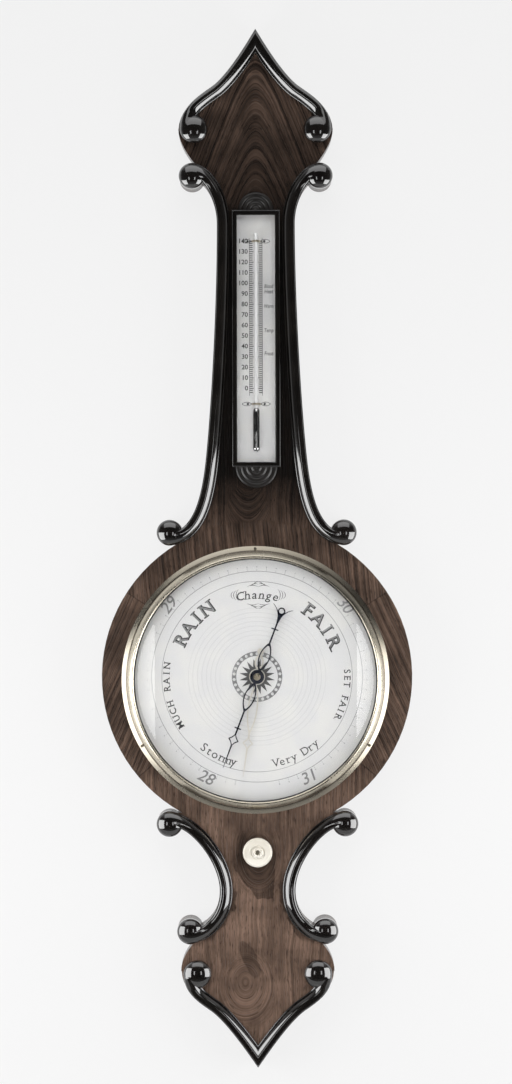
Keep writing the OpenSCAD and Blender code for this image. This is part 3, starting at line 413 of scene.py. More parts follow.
board_finish("pine", (0.26, 0.15, 0.07), (0.42, 0.28, 0.15), (0.2, 0.11, 0.05), 0.55, 0.75, 0.009)
board_finish("rosewood", (0.03, 0.017, 0.012), (0.075, 0.042, 0.029), (0.012, 0.007, 0.005),
             0.22, 0.34, 0.007)
print("boards ready")

# %% [markdown]
# The silvered dial is brass rubbed with silver, matt and slightly brushed in circles where it was turned.
# Rings come from the distance to the dial's centre, and show as faint bands in the middle. The thermometer's
# plate is brushed straight across, so its centre lies far above it, and its colour is darker over its upper
# part.

# %% Silvered plates
ring_gap = 0.0046
far_above = 1.0
top_darkening_stops = [(0.0, 1.0), (0.3, 1.0), (0.5, 0.85), (0.72, 0.76), (0.76, 0.84), (1.0, 0.88)]


def silvered_finish(name, centre, level, upward_darkening=None):
    shader, place = new_finish(name, Metallic=0.12)
    flat = vector_calc("MULTIPLY", vector_calc("SUBTRACT", place, centre)[0], (1, 0, 1))[0]
    radius = vector_calc("LENGTH", flat)["Value"]
    brushed = noise(radius, 2600.0, 3.0, "1D")
    turned_rings = calc("SINE", radius * (2 * math.pi / ring_gap))
    zone = step_up(radius, 0.034, 0.042) * step_up(radius, 0.076, 0.068)
    rings = zone * step_up(turned_rings, 0.7, 0.98)
    smudge = use_group(handling, Vector=place)["Smudge"]
    tone = blend(smudge, grey(level * 0.95), tint(level, level * 0.995, level * 0.97))
    tone = blend(rings * 0.2, tone, grey(level * 0.5))
    # The plate's colour is made darker towards its top by a ramp.
    if upward_darkening:
        reach = {"Value": parts_of(place)[2], "From Min": frame_low.z, "From Max": frame_high.z}
        tone = glaze(tone, ramp(node(shader.id_data, "ShaderNodeMapRange", reach)[0], upward_darkening))
    feed(shader.inputs["Base Color"], tone)
    rough_between(shader, brushed, 0.42, 0.6)
    raise_grain(shader, brushed, 0.00002)


silvered_finish("silvered", dial_centre, 0.77)
silvered_finish("scale_silver", at(0, thermo_u + far_above, 0), 0.92, top_darkening_stops)
print("silver ready")

# %% [markdown]
# The front is veneered in pieces, each with its own figure: nested pointed arches in the head, near
# black wood beside the thermometer, slanting hatch in segments round the dial, flowing upright grain in
# the waist and ovals in the base. Each region bends its own grain vector, and soft masks join them.

# %% Rosewood veneer: the figure of each region
veneer, place = new_finish("rosewood_veneer", Specular_IOR_Level=0.4)
x, _, z = parts_of(place)


def round_distance(cx, cz, wide, tall):
    """Distance from a spot on the face, counted in its own half width and half height."""
    return distance_of((x - cx) / wide, (z - cz) / tall)


def figure_of(across_grain, along_grain, spacing, wander):
    vector = node(veneer.id_data, "ShaderNodeCombineXYZ", {0: across_grain, 2: along_grain})[0]
    return use_group(wood_grain, Vector=vector, Spacing=spacing, Wander=wander)


apex_round = 0.012
from_middle = distance_of(x, apex_round)
head = figure_of(from_middle * 0.93 + z * 0.36, z * 0.93 + from_middle * -0.36, 0.0042, 0.006)
round_top = abs(calc("ARCTAN2", x, z - dial_u))
joints = (math.radians(57), math.radians(130))
past_shoulder, past_foot = (calc("GREATER_THAN", round_top, joint) for joint in joints)
slant = past_shoulder * (calc("SIGN", x) * 0.42 - 0.1) + 0.1
slant = blend(past_foot, slant, grey(-0.16))
slanted = node(veneer.id_data, "ShaderNodeVectorRotate", {"Vector": place, "Angle": slant},
               rotation_type="Y_AXIS")[0]
hatch = use_group(wood_grain, Vector=slanted, Spacing=0.0038, Wander=0.004)
flow = figure_of(x, z, 0.0045, 0.016)
whorl = figure_of(round_distance(0.001, knob_u, 1.0, 1.7), z, 0.0032, 0.006)
ovals = figure_of(round_distance(-0.0127, -0.8716, 1.0, 1.35), z, 0.0034, 0.01)
loops = figure_of(z - (x + 0.009) ** 2.0 * 54.0, x, 0.0042, 0.006)
in_head = step_up(z, -0.1, -0.07)
in_base = step_up(round_distance(-0.0085, -0.88, 0.036, 0.044), 1.1, 0.55)
in_loops = step_up(round_distance(-0.009, -0.40, 0.024, 0.04), 1.1, 0.8)
in_whorl = step_up(round_distance(0.0, knob_u, 0.03, 0.048), 1.1, 0.6)
in_disc = step_up(round_distance(0, dial_u, 1.0, 1.0), 0.162, 0.156)
regions = ((in_head, head), (in_base, ovals), (in_loops, loops), (in_whorl, whorl), (in_disc, hatch))


def by_region(output):
    value = flow[output]
    for mask, figure in regions:
        value = blend(mask, value, figure[output])
    return value


print("regions of figure:", len(regions) + 1)

# %% [markdown]
# Then come the tones. A ramp up the case sets how dark each stretch is, and a second one how strong its
# figure is. The segments round the dial have dark joints, and fibres and pores darken the wood further.

# %% Rosewood veneer: tones
low_end, high_end = cad_box[0].z, cad_box[1].z
tone_stops = [(-0.96, 0.088), (-0.86, 0.097), (-0.79, 0.104), (-0.72, 0.09), (-0.66, 0.066), (-0.56, 0.05),
              (-0.48, 0.064), (-0.43, 0.052), (-0.385, 0.024), (-0.355, 0.003), (-0.12, 0.0012),
              (-0.085, 0.014), (-0.05, 0.025), (0.0, 0.039), (0.1, 0.055)]
figure_stops = [(-0.96, 0.65), (-0.7, 0.7), (-0.62, 1.2), (-0.1, 1.3), (0.1, 1.5)]


def level_of(u):
    """A height in metres as a share of the case's own height."""
    return (u - low_end) / (high_end - low_end)


def up_the_case(stops, share=1):
    return ramp(level_of(z), [(level_of(u), level * share) for u, level in stops])


tone = up_the_case(tone_stops)
strength = up_the_case(figure_stops, 0.5)
from_joint = calc("MINIMUM", *[abs(round_top - joint) for joint in joints])
tone = blend(in_disc * step_up(from_joint, 0.007, 0.0) * 0.6, tone, grey(0.006))
for output, middle, depth in (("Figure", 0.5, 1.6), ("Lines", 1.0, 0.9)):
    tone = glaze(tone, (by_region(output) - middle) * strength * depth + 1.0)
fibre = by_region("Fibre")
tone = darken(tone, fibre, 0.45, 0.5)
tone = darken(tone, by_region("Pores"), 0.85, 0.22)
print("veneer tones:", len(tone_stops))

# %% [markdown]
# Last come the marks of this one tree: a dark patch of heartwood with torn edges below the knob and a leaning
# streak above the base. Beside them lies painted shade, a dark band along the inner side of the waist strips
# where the raised mouldings shade the veneer. Each is a mask made of distances that noise has roughened.
# Broad blotches and the hue of the wood finish the veneer.

# %% Rosewood veneer: heartwood, streak and painted shade by the waist strips
ragged = noise(place, 90.0, 5.0) - 0.5


def inside(edge_x, edge_u, across_share, up_share, soft=0.0012, tear=0.008):
    """1 on one side of a torn straight edge through a place, 0 on the other."""
    side = (x - edge_x) * across_share + (z - edge_u) * up_share + ragged * tear
    return step_up(side, 0.0, soft)


heart = inside(0.0172, -0.77, -1.0, 0.0)
for edge in ((-0.022, -0.759, 0.793, 0.609), (0.0, -0.786, 0.15, 1.0, 0.001, 0.014),
             (0.0, -0.708, -0.3, -1.0, 0.024), (-0.028, -0.74, 1.0, -0.15, 0.01)):
    heart = heart * inside(*edge)
lean_x, lean_u = 0.397, -0.918
streak_x, streak_z = x + 0.008, z + 0.848
along_streak = streak_x * lean_x + streak_z * lean_u
across_streak = streak_x * -lean_u + streak_z * lean_x
streak = (along_streak / 0.021) ** 2.0 + (across_streak / 0.0075) ** 2.0
streak = step_up(ragged * 1.6 + streak, 1.1, 0.8)
# Painted shade: the veneer is darkened in a ragged band just inside the waist strips, where the raised
# mouldings would shade it.
strip_edge, strip_u, strip_bow = 0.0256, -0.781, 10.5
to_strip = abs(x) - ((z - strip_u) ** 2.0 * strip_bow + strip_edge)
strip_painted_shade = step_up(ragged * 0.022 + to_strip, -0.004, -0.002)
strip_painted_shade = strip_painted_shade * step_up(z, -0.745, -0.785) * step_up(z, -0.832, -0.826)
for mark, depth in ((heart, 0.85), (streak, 0.7), (strip_painted_shade, 0.75)):
    tone = darken(tone, mark, depth, 0.36)
tone = glaze(tone, step_up(noise(place, 30.0, 3.0), 0.3, 0.7) * 0.66 + 0.67)
rosewood_hue = tint(1.42, 0.92, 0.68)
feed(veneer.inputs["Base Color"], glaze(tone, rosewood_hue))
rough_between(veneer, fibre, 0.2, 0.3)
raise_grain(veneer, fibre, 0.00003)
print("veneer nodes:", len(veneer.id_data.nodes))

# %% [markdown]
# Every solid gets the finish of its slot in the record. The veneer, the thermometer's plate and the set
# hand have finishes of their own.

# %% Finishes on the solids
finish_of = {part["node"]: part["material_slot"] for part in frame["record"]["subparts"]}
finish_of.update(front_veneer="rosewood_veneer", thermometer_scale="scale_silver", set_hand="pale_brass")
for name, solid in nodes.items():
    solid.data.materials.clear()
    solid.data.materials.append(finishes[finish_of[name]])
print("solids finished:", len(nodes))

# %% [markdown]
# New pieces start as a bmesh: a few points that operators then spin, extrude or cut. This helper closes
# the seams, turns the faces outwards and makes an object that rides on a body of the model.

# %% Helpers for pieces
forwards, upwards, rightwards = Vector((0, -1, 0)), Vector((0, 0, 1)), Vector((1, 0, 0))
full_turn = 2 * math.pi
merge_gap = 2e-6


def object_from(name, shape, finish):
    """An object with one finish, made from a bmesh that is then freed."""
    mesh = bpy.data.meshes.new(name)
    shape.to_mesh(mesh)
    shape.free()
    mesh.materials.append(finishes[finish])
    return add_object(name, mesh)


def make_piece(name, shape, finish, slot=None, stands_for=None, body="case", smooth=35, reaches=None):
    """A piece that rides on a body, or, when reaches is given, is left where it is drawn on no body."""
    bmesh.ops.remove_doubles(shape, verts=shape.verts, dist=merge_gap)
    bmesh.ops.dissolve_degenerate(shape, edges=shape.edges, dist=1e-7)
    bmesh.ops.recalc_face_normals(shape, faces=shape.faces)
    made = object_from(name, shape, finish)
    faces = made.data.polygons
    faces.foreach_set("use_smooth", [smooth > 0] * len(faces))
    made.data.set_sharp_from_angle(angle=math.radians(smooth))
    if reaches:
        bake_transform(made)
    else:
        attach(made, body)
    if stands_for:
        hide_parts(stands_for)
    print(name, "faces:", len(faces))


def arc(cx, cy, across_r, up_r, start, end, count):
    """Points on a part of an ellipse, its angles in degrees."""
    angles = [math.radians(start + (end - start) * i / count) for i in range(count + 1)]
    return [(cx + across_r * math.cos(a), cy + up_r * math.sin(a)) for a in angles]


def spin_profile(shape, profile, centre, axis=forwards, angle=full_turn, steps=96):
    """Spins a closed profile of (radius, place on the axis) points and leaves it in the bmesh."""
    ring = [shape.verts.new(centre + rightwards * r + axis * a) for r, a in profile]
    edges = [shape.edges.new(pair) for pair in zip(ring, ring[1:] + ring[:1])]
    bmesh.ops.spin(shape, geom=ring + edges, cent=centre, axis=axis, angle=angle, steps=steps,
                   use_merge=angle == full_turn)
    return shape


def turned_piece(name, profile, centre, finish, axis=forwards, steps=96, **more):
    """A piece that one spun profile makes, as on a lathe."""
    make_piece(name, spin_profile(bmesh.new(), profile, centre, axis, steps=steps), finish, **more)


def sweep(shape, sections, capped=True):
    """Extrudes a closed outline from each section to the next."""
    ring = [shape.verts.new(point) for point in sections[0]]
    edges = [shape.edges.new((ring[i - 1], ring[i])) for i in range(len(ring))]
    if capped:
        shape.faces.new(ring)
    for section in sections[1:]:
        grown = set(bmesh.ops.extrude_edge_only(shape, edges=edges)["geom"])
        ring = [next(e.other_vert(v) for e in v.link_edges if e.other_vert(v) in grown) for v in ring]
        for vert, point in zip(ring, section):
            vert.co = point
        edges = [shape.edges.get((ring[i - 1], ring[i])) for i in range(len(ring))]
    if capped:
        shape.faces.new(ring)
    return shape


print("piece helpers ready")

# %% [markdown]
# The black mouldings are strips with a small bead along their inner edge, a broad back that rises from it
# and a fillet outside. At its end each strip swells into a ball, like the tail of a comma. The strip is
# extruded along a chain of cubic curves, and over its last stretch its section changes into half of the
# ball's own section, so that the two flow together with a crease on one side only. The ball itself is a
# spun dome.

# %% Sections of the mouldings
strip_half = 0.0065
ball_side = 0.003
ball_top = 0.0108
swell = 0.027
strip_back_mm = [
    (-4.3, 4.2), (-4.1, 4.5), (-3.55, 5.08), (-3.0, 5.58), (-2.5, 5.98), (-2.0, 6.33), (-1.5, 6.62),
    (-1.0, 6.88), (-0.5, 7.07), (0.0, 7.22), (0.35, 7.3), (0.7, 7.35), (1.0, 7.38), (1.3, 7.4), (1.65, 7.41),
    (2.0, 7.4), (2.5, 7.35), (3.0, 7.28), (3.5, 7.19), (4.0, 7.08), (4.4, 6.97), (4.8, 6.85), (5.15, 6.7),
    (5.4, 6.5), (5.55, 6.2), (5.65, 4.2)]
strip_section = (
    [(-strip_half, 0), (-strip_half, 0.0016)]
    + arc(-0.0055, 0.0017, 0.001, 0.0011, 180, 0, 6)
    + [(-0.0044, 0.0015)]
    + [(across / 1000, rise / 1000) for across, rise in strip_back_mm]
    + [(0.0057, 0.0021), (strip_half, 0.0019), (strip_half, 0)]
)


def left_of(heading):
    return Vector((-heading.y, heading.x))


def ease(share):
    share = min(1, max(0, share))
    return share * share * (3 - 2 * share)


def ball_section(count, ball_r):
    """Half of the ball's section, from the foot of its rim to its axis, in as many points as the strip."""
    turns = [math.radians(90 * i / (count - 3)) for i in range(count - 2)]
    dome = [(ball_r * math.cos(a), ball_side + (ball_top - ball_side) * math.sin(a)) for a in turns]
    return [(ball_r, 0)] + dome + [(0, 0)]


def section_at(point, heading, side, swelling, ball_r):
    """The strip's section, turned by a share into the ball's. Side says which edge runs into the rim."""
    strip = strip_section if side < 0 else strip_section[::-1]
    ball = ball_section(len(strip), ball_r)
    out = left_of(heading) * side
    placed = []
    for (off, rise), (reach, lift) in zip(strip, ball):
        shift = (off * side) * (1 - swelling) + (reach - ball_r + strip_half) * swelling
        edge = point + out * shift
        placed.append(at(edge.x, edge.y, face_d + rise * (1 - swelling) + lift * swelling))
    return placed


print("strip points:", len(strip_section))

# %% [markdown]
# The curves are given by a few places in the face of the case. Where a strip meets the centre line it
# is run past it and cut off there with a plane, which makes the mitre at the top and bottom tips.

# %% Curves of the mouldings
dome_points = 26
proud_r, proud_h = 1.002, 1.004


def spot(x, u):
    return Vector((x, u))


def curve(start, leaving, arriving, end):
    """A cubic curve by its ends, and by how far it heads on from the first and into the last."""
    return start, start + leaving, end - arriving, end


def bezier(points, t):
    a, b, c, d = points
    s = 1 - t
    return s ** 3 * a + 3 * s * s * t * b + 3 * s * t * t * c + t ** 3 * d


def stations(path, steps=26):
    """Points and headings along a chain of cubic curves, with the length walked so far."""
    spots = [path[0][0]] + [bezier(points, i / steps) for points in path for i in range(1, steps + 1)]
    walked, line = 0, []
    for i, here in enumerate(spots):
        before, after = spots[max(0, i - 1)], spots[min(len(spots) - 1, i + 1)]
        walked += (here - before).length
        line.append((here, (after - before).normalized(), walked))
    return line


def ball_end(centre, towards, ball_r, side):
    """A ball's centre, the strip's heading there, and where its middle line ends with its edge on the rim."""
    heading = towards.normalized()
    return centre, heading, centre + left_of(heading) * side * (ball_r - strip_half)


def mitre_end(tip_u, slope, side):
    """A strip's heading at a tip of the case, its slope in degrees, and where its middle line ends there."""
    turn = math.radians(slope)
    return spot(side * math.sin(turn), -math.cos(turn)), spot(0, tip_u - side * strip_half / math.sin(turn))


def moulding(name, path, balls, ball_r, side, mitred=False):
    """A pair of strips. balls: the centre of the ball at the start and the end of the path, or None."""
    line = stations(path)
    total = line[-1][2]
    sections = []
    for point, heading, walked in line:
        gaps = (walked, total - walked)
        swelling = max(ease(1 - gap / swell) if ball else 0 for ball, gap in zip(balls, gaps))
        sections.append(section_at(point, heading, side, swelling, ball_r))
    for hand, mirror in (("right", 1), ("left", -1)):
        shape = sweep(bmesh.new(), sections)
        if mitred:
            cut = bmesh.ops.bisect_plane(shape, geom=shape.verts[:] + shape.edges[:] + shape.faces[:],
                                         plane_co=(0, 0, 0), plane_no=(1, 0, 0), clear_inner=True)
            rim = [e for e in cut["geom_cut"] if isinstance(e, bmesh.types.BMEdge)]
            bmesh.ops.contextual_create(shape, geom=rim)
        for centre in filter(None, balls):
            dome = [(r * proud_r, face_d + h * proud_h) for r, h in ball_section(dome_points, ball_r)]
            spin_profile(shape, dome, at(centre.x, centre.y, 0), steps=72)
        bmesh.ops.scale(shape, vec=(mirror, 1, 1), verts=shape.verts)
        make_piece(f"{name}_scroll_{hand}", shape, "ebonised", stands_for=f"{name}_moulding_{hand}")


print("curves ready")

# %% Crest and base
end_ball = 0.0143
past_tip = 0.018
crest_run, crest_tip = mitre_end(0.101, 31.4, 1)
crest_bend = spot(0.041, 0.0367)
crest_ball, crest_down, crest_foot = ball_end(spot(0.0631, -0.0012), spot(0.055, -1), end_ball, 1)
crest_path = [
    curve(crest_tip - crest_run * past_tip, crest_run * past_tip / 3, crest_run * past_tip / 3, crest_tip),
    curve(crest_tip, crest_run * 0.0236, spot(0.013, -0.009), crest_bend),
    curve(crest_bend, spot(0.015, -0.0104), crest_down * 0.018, crest_foot),
]
moulding("crest", crest_path, (None, crest_ball), end_ball, 1, mitred=True)

base_u = -0.861
base_ball, base_down, base_top = ball_end(spot(0.0616, base_u - 0.002), spot(-0.027, -1), end_ball, 1)
base_bend = spot(0.0451, base_u - 0.0337)
base_run, base_tip = mitre_end(-0.9585, 35.1, -1)
base_path = [
    curve(base_top, base_down * 0.015, spot(-0.013, -0.009), base_bend),
    curve(base_bend, spot(-0.0131, -0.0088), base_run * 0.0265, base_tip),
    curve(base_tip, base_run * past_tip / 3, base_run * past_tip / 3, base_tip + base_run * past_tip),
]
moulding("base", base_path, (base_ball, None), end_ball, 1, mitred=True)

# %% Trunk and waist
def round_dial(reach, turn):
    """A spot at a reach from the dial's centre, with its turn in degrees up from the right."""
    return spot(0, dial_u) + reach * spot(math.cos(math.radians(turn)), math.sin(math.radians(turn)))


trunk_ball = 0.0132
trunk_x, waist_x = 0.0332, 0.0321
upper_ball, upper_run, upper_end = ball_end(spot(0.0653, -0.0491), spot(-0.99, -0.136), trunk_ball, -1)
lower_ball, lower_run, lower_end = ball_end(round_dial(0.1719, 58.9), spot(0.991, -0.132), trunk_ball, -1)
trunk_top = spot(trunk_x, -0.098)
trunk_low = spot(trunk_x + 0.0115, lower_ball.y + 0.0787)
trunk_lean = spot(0.0057, -0.056)
trunk_path = [
    curve(upper_end, upper_run * 0.016, spot(0, -0.027), trunk_top),
    curve(trunk_top, spot(0, -0.077), trunk_lean, trunk_low),
    curve(trunk_low, trunk_lean * 0.75, lower_run * 0.031, lower_end),
]
moulding("trunk", trunk_path, (upper_ball, lower_ball), trunk_ball, -1)

waist_ball, waist_run, waist_start = ball_end(round_dial(0.1745, -59.1), spot(-0.967, -0.255), trunk_ball, -1)
foot_ball, foot_run, foot_end = ball_end(spot(0.069, base_u + 0.0416), spot(0.961, -0.278), trunk_ball, -1)
waist_mid = spot(waist_x, dial_u - 0.218)
waist_path = [
    curve(waist_start, waist_run * 0.031, spot(0, -0.028), waist_mid),
    curve(waist_mid, spot(0, -0.024), foot_run * 0.0225, foot_end),
]
moulding("waist", waist_path, (waist_ball, foot_ball), trunk_ball, -1)

# %% [markdown]
# The bezel is a turned brass ring: a round ridge by the glass, a slope that falls to a groove, and a low
# bevel outside it. A lathe makes it from one profile, and so does a spin. Its colour is darker over a sector
# at the upper right, darker on the outer bevel and darker still in the groove.

# %% Bezel
sight_r = rim_r - 0.0049
flange_d = face_d + 0.0019
skirt_r = rim_r + 0.0018
skirt_t = 0.0016
seat_d = face_d + 0.0073
groove_r = sight_r + 0.0074
bezel_profile = (
    [(sight_r, seat_d)]
    + arc(sight_r + 0.0017, bezel_d - 0.0017, 0.0017, 0.0017, 180, 40, 12)
    + [(sight_r + 0.0043, bezel_d - 0.0017), (sight_r + 0.0055, bezel_d - 0.003)]
    + [(sight_r + 0.0067, bezel_d - 0.0045), (sight_r + 0.007, flange_d + 0.0003)]
    + [(groove_r, flange_d), (groove_r + 0.0005, flange_d + 0.0001), (groove_r + 0.0025, flange_d - 0.0006)]
    + [(bezel_r - 0.0006, flange_d - 0.0016), (bezel_r, face_d), (skirt_r, face_d), (skirt_r, dial_d)]
    + [(skirt_r - skirt_t, dial_d), (skirt_r - skirt_t, seat_d)]
)
dark_sector_stops = [(0.0, 0.85), (0.12, 0.9), (0.25, 0.95), (0.4, 0.95), (0.5, 0.9), (0.55, 0.6), (0.6, 0.3),
                 (0.65, 0.3), (0.7, 0.6), (0.76, 0.95), (1.0, 0.85)]
shader, place = new_finish("bezel_brass", Metallic=1.0)
smudge = use_group(handling, Vector=place)["Smudge"]
ring_x, _, ring_z = parts_of(vector_calc("SUBTRACT", place, opening_centre)[0])
ring_turn = calc("ARCTAN2", ring_x, ring_z) * (0.5 / math.pi) + 0.5
ring_reach = distance_of(ring_x, ring_z)
# The outer bevel and the groove are painted darker.
outer_bevel_darkening = step_up(ring_reach, groove_r, groove_r + 0.0008)
groove_darkening = step_up(abs(ring_reach - groove_r), 0.0012, 0.0002)
metal = blend(smudge, tint(0.7, 0.64, 0.52), tint(0.75, 0.69, 0.57))
metal = glaze(metal, ramp(ring_turn, dark_sector_stops))
metal = blend(outer_bevel_darkening * 0.5, metal, tint(0.06, 0.05, 0.04))
metal = blend(groove_darkening * 0.85, metal, tint(0.12, 0.1, 0.08))
feed(shader.inputs["Base Color"], metal)
rough_between(shader, smudge, 0.25, 0.29)
turned_piece("bezel_ring", bezel_profile, opening_centre, "bezel_brass", steps=192, slot="brass",
             stands_for="bezel", smooth=28)

# %% [markdown]
# The dial glass is a shallow dome, blown and cut round, held by its flat rim. Its two faces are parts of
# spheres, so an arc for each and a full spin make a smooth lens that mirrors the lamps as it should.

# %% Dial glass
glass_t = 0.0019
glass_rise = 0.0065
dome_r = sight_r - 0.0005
rim_d = seat_d - 0.0001
sphere_r = (dome_r ** 2 + glass_rise ** 2) / (2 * glass_rise)
sphere_d = rim_d + glass_rise - sphere_r
spread = math.degrees(math.asin(dome_r / sphere_r))
front_face = arc(0, sphere_d, sphere_r, sphere_r, 90, 90 - spread, 24)
back_face = arc(0, sphere_d, sphere_r - glass_t, sphere_r - glass_t, 90 - spread, 90, 24)
glass_profile = front_face + [(rim_r, rim_d), (rim_r, rim_d - glass_t)] + back_face
turned_piece("dial_dome", glass_profile, opening_centre, "clear_glass", steps=128, stands_for="dial_glass",
             smooth=50)

# %% [markdown]
# The dial is engraved and its lines filled with black wax. Each mark is a sliver of wax that stands a
# hair above the plate: circles are thin spun rings, and ticks are little blocks set round by a loop.
# Bearings count clockwise from the top, and an inch of mercury takes 102 degrees.

# %% Wax finishes and marks
for name, dark, light in (("black_wax", 0.02, 0.045), ("worn_wax", 0.2, 0.34), ("faint_wax", 0.34, 0.48),
                          ("sun_wax", 0.06, 0.11)):
    handled_finish(name, [dark] * 3, [light] * 3, 0.5, 0.7)
wax_t = 0.00003
inch_turn = 102.0
first_mark, last_mark = 28, 31
stand_up = Matrix.Rotation(math.pi / 2, 4, "X")


def wax_piece(name, shape, finish="black_wax"):
    make_piece(name, shape, finish, slot="silvered", smooth=0)


def bearing_of(reading):
    return (reading - (first_mark + last_mark) / 2) * inch_turn


def on_dial(bearing, radius, lift=0.0):
    """Moves a flat shape, drawn in X and Z with its top up, out to its place on the dial."""
    turn = Matrix.Rotation(math.radians(bearing), 4, "Y")
    return Matrix.Translation(at(0, dial_u, dial_d + lift)) @ turn @ Matrix.Translation((0, 0, radius))


def add_block(shape, width, height, matrix):
    made = bmesh.ops.create_cube(shape, size=1)
    bmesh.ops.scale(shape, vec=(width, wax_t, height), verts=made["verts"])
    bmesh.ops.transform(shape, matrix=matrix, verts=made["verts"])


def add_disc(shape, segments, radius):
    """A disc in X and Y, still to be stood up."""
    return bmesh.ops.create_cone(shape, cap_ends=True, segments=segments, radius1=radius, radius2=radius,
                                 depth=wax_t)["verts"]


def add_ring(shape, radius, width, centre=dial_centre, depth=dial_d, steps=128):
    inner, outer = radius - width / 2, radius + width / 2
    profile = [(inner, depth), (inner, depth + wax_t), (outer, depth + wax_t), (outer, depth)]
    spin_profile(shape, profile, centre, steps=steps)


print("wax", wax_t)

# %% Circles and ticks
circle_radii = (0.1076, 0.0972)
circle_w = 0.0005
circles = bmesh.new()
for radius in circle_radii:
    add_ring(circles, radius, circle_w, steps=160)
make_piece("dial_circles", circles, "worn_wax", slot="silvered")
# A thin black ring round the edge of the glass is painted shadow: it stands for the dark line where the
# bezel's ridge shades the glass and dial.
edge_w = 0.0012
rim_shadow_shape = bmesh.new()
add_ring(rim_shadow_shape, sight_r - edge_w / 2, edge_w, centre=opening_centre, depth=rim_d + 0.0002, steps=192)
make_piece("glass_edge_painted_shadow", rim_shadow_shape, "black_wax", slot="putty")
tick_w, long_tick, short_tick = 0.0003, 0.0042, 0.0026
inch_ticks, ticks_past = 20, 3
last_tick = (last_mark - first_mark) * inch_ticks + ticks_past
dot_r, dots_at = 0.0006, 0.1121
ticks = bmesh.new()
for tick in range(-ticks_past, last_tick + 1):
    turn = bearing_of(first_mark + tick / inch_ticks)
    length = long_tick if tick % 2 else short_tick
    add_block(ticks, tick_w, length, on_dial(turn, circle_radii[0] + length / 2))
    dot = add_disc(ticks, 8, dot_r)
    bmesh.ops.transform(ticks, verts=dot, matrix=on_dial(turn, dots_at) @ stand_up)
wax_piece("dial_ticks", ticks, "faint_wax")

# %% [markdown]
# Letters come from Blender's built-in font, with short cross strokes added at the ends of their stems, as
# an engraver cuts them. A text object is turned into a mesh, stood up and set round one letter at a time.
# Words in the lower half read from left to right with their tops to the centre, so their letters are
# turned half round and taken the other way.

# %% Lettering
def letter_mesh(text, size, weight=0.0, slant=0.0):
    """A flat mesh of the text, centred, in X and Z."""
    letters = bpy.data.curves.new("letter", "FONT")
    letters.body = text
    letters.size = size
    letters.offset = weight
    letters.shear = slant
    letters.align_x, letters.align_y = "CENTER", "CENTER"
    letters.resolution_u = 3
    letters.extrude = wax_t / 2
    carrier = add_object("letter", letters)
    bpy.context.view_layer.update()
    mesh = bpy.data.meshes.new_from_object(carrier.evaluated_get(bpy.context.evaluated_depsgraph_get()))
    bpy.data.objects.remove(carrier)
    mesh.transform(stand_up)
    return mesh


def add_letter(shape, mesh, matrix):
    before = len(shape.verts)
    shape.from_mesh(mesh)
    shape.verts.ensure_lookup_table()
    bmesh.ops.transform(shape, matrix=matrix, verts=shape.verts[before:])


feet = {"A": (0.07, 0.93), "D": (0.14,), "E": (0.14,), "F": (0.14,), "H": (0.1, 0.9), "I": (0.5,),
        "M": (0.08, 0.92), "N": (0.1,), "R": (0.14, 0.92), "T": (0.5,), "r": (0.25,), "m": (0.08, 0.5, 0.92),
        "h": (0.15, 0.85), "n": (0.15, 0.85)}
heads = {"D": (0.14,), "E": (0.14,), "F": (0.14,), "H": (0.1, 0.9), "I": (0.5,), "M": (0.08, 0.92),
         "N": (0.1, 0.9), "R": (0.14,), "U": (0.1, 0.9), "V": (0.07, 0.93), "r": (0.15,), "y": (0.08, 0.92),
         "h": (0.1,)}
serif_w, serif_t = 0.26, 0.045


def add_serifs(shape, letter, mesh, size, weight, matrix):
    """Short cross strokes on the ends of a letter's stems."""
    across = [v.co.x for v in mesh.vertices]
    up = [v.co.z for v in mesh.vertices]
    stroke = size * serif_t + weight
    for ends, level in ((feet, min(up) + stroke / 2), (heads, max(up) - stroke / 2)):
        for share in ends.get(letter, ()):
            stem_x = min(across) + (max(across) - min(across)) * share
            end = matrix @ Matrix.Translation((stem_x, 0, level))
            add_block(shape, size * serif_w + 2 * weight, stroke, end)


def add_word(shape, word, bearing, pitch, radius, size, low=False, lift=0.0, weight=0.0, slant=0.0):
    """Sets a word round the dial, its middle at the bearing, with a pitch in degrees for each letter."""
    for i, letter in enumerate(word):
        if letter == " ":
            continue
        offset = (i - (len(word) - 1) / 2) * pitch
        matrix = on_dial(bearing - offset if low else bearing + offset, radius, lift)
        if low:
            matrix = matrix @ Matrix.Rotation(math.pi, 4, "Y")
        mesh = letter_mesh(letter, size, weight, slant)
        add_letter(shape, mesh, matrix)
        add_serifs(shape, letter, mesh, size, weight, matrix)


numerals = bmesh.new()
for reading in range(first_mark, last_mark + 1):
    turn = bearing_of(reading)
    lower = abs(turn) > 90
    add_word(numerals, str(reading), turn, 4.1, 0.1156, 0.0172, low=lower, weight=0.00012, slant=0.18)
wax_piece("dial_numerals", numerals, "worn_wax")

# %% [markdown]
# The large words are shaded letters, so each is drawn twice: a black letter, and a lighter one above it,
# moved a little to the left. The small words are plain.

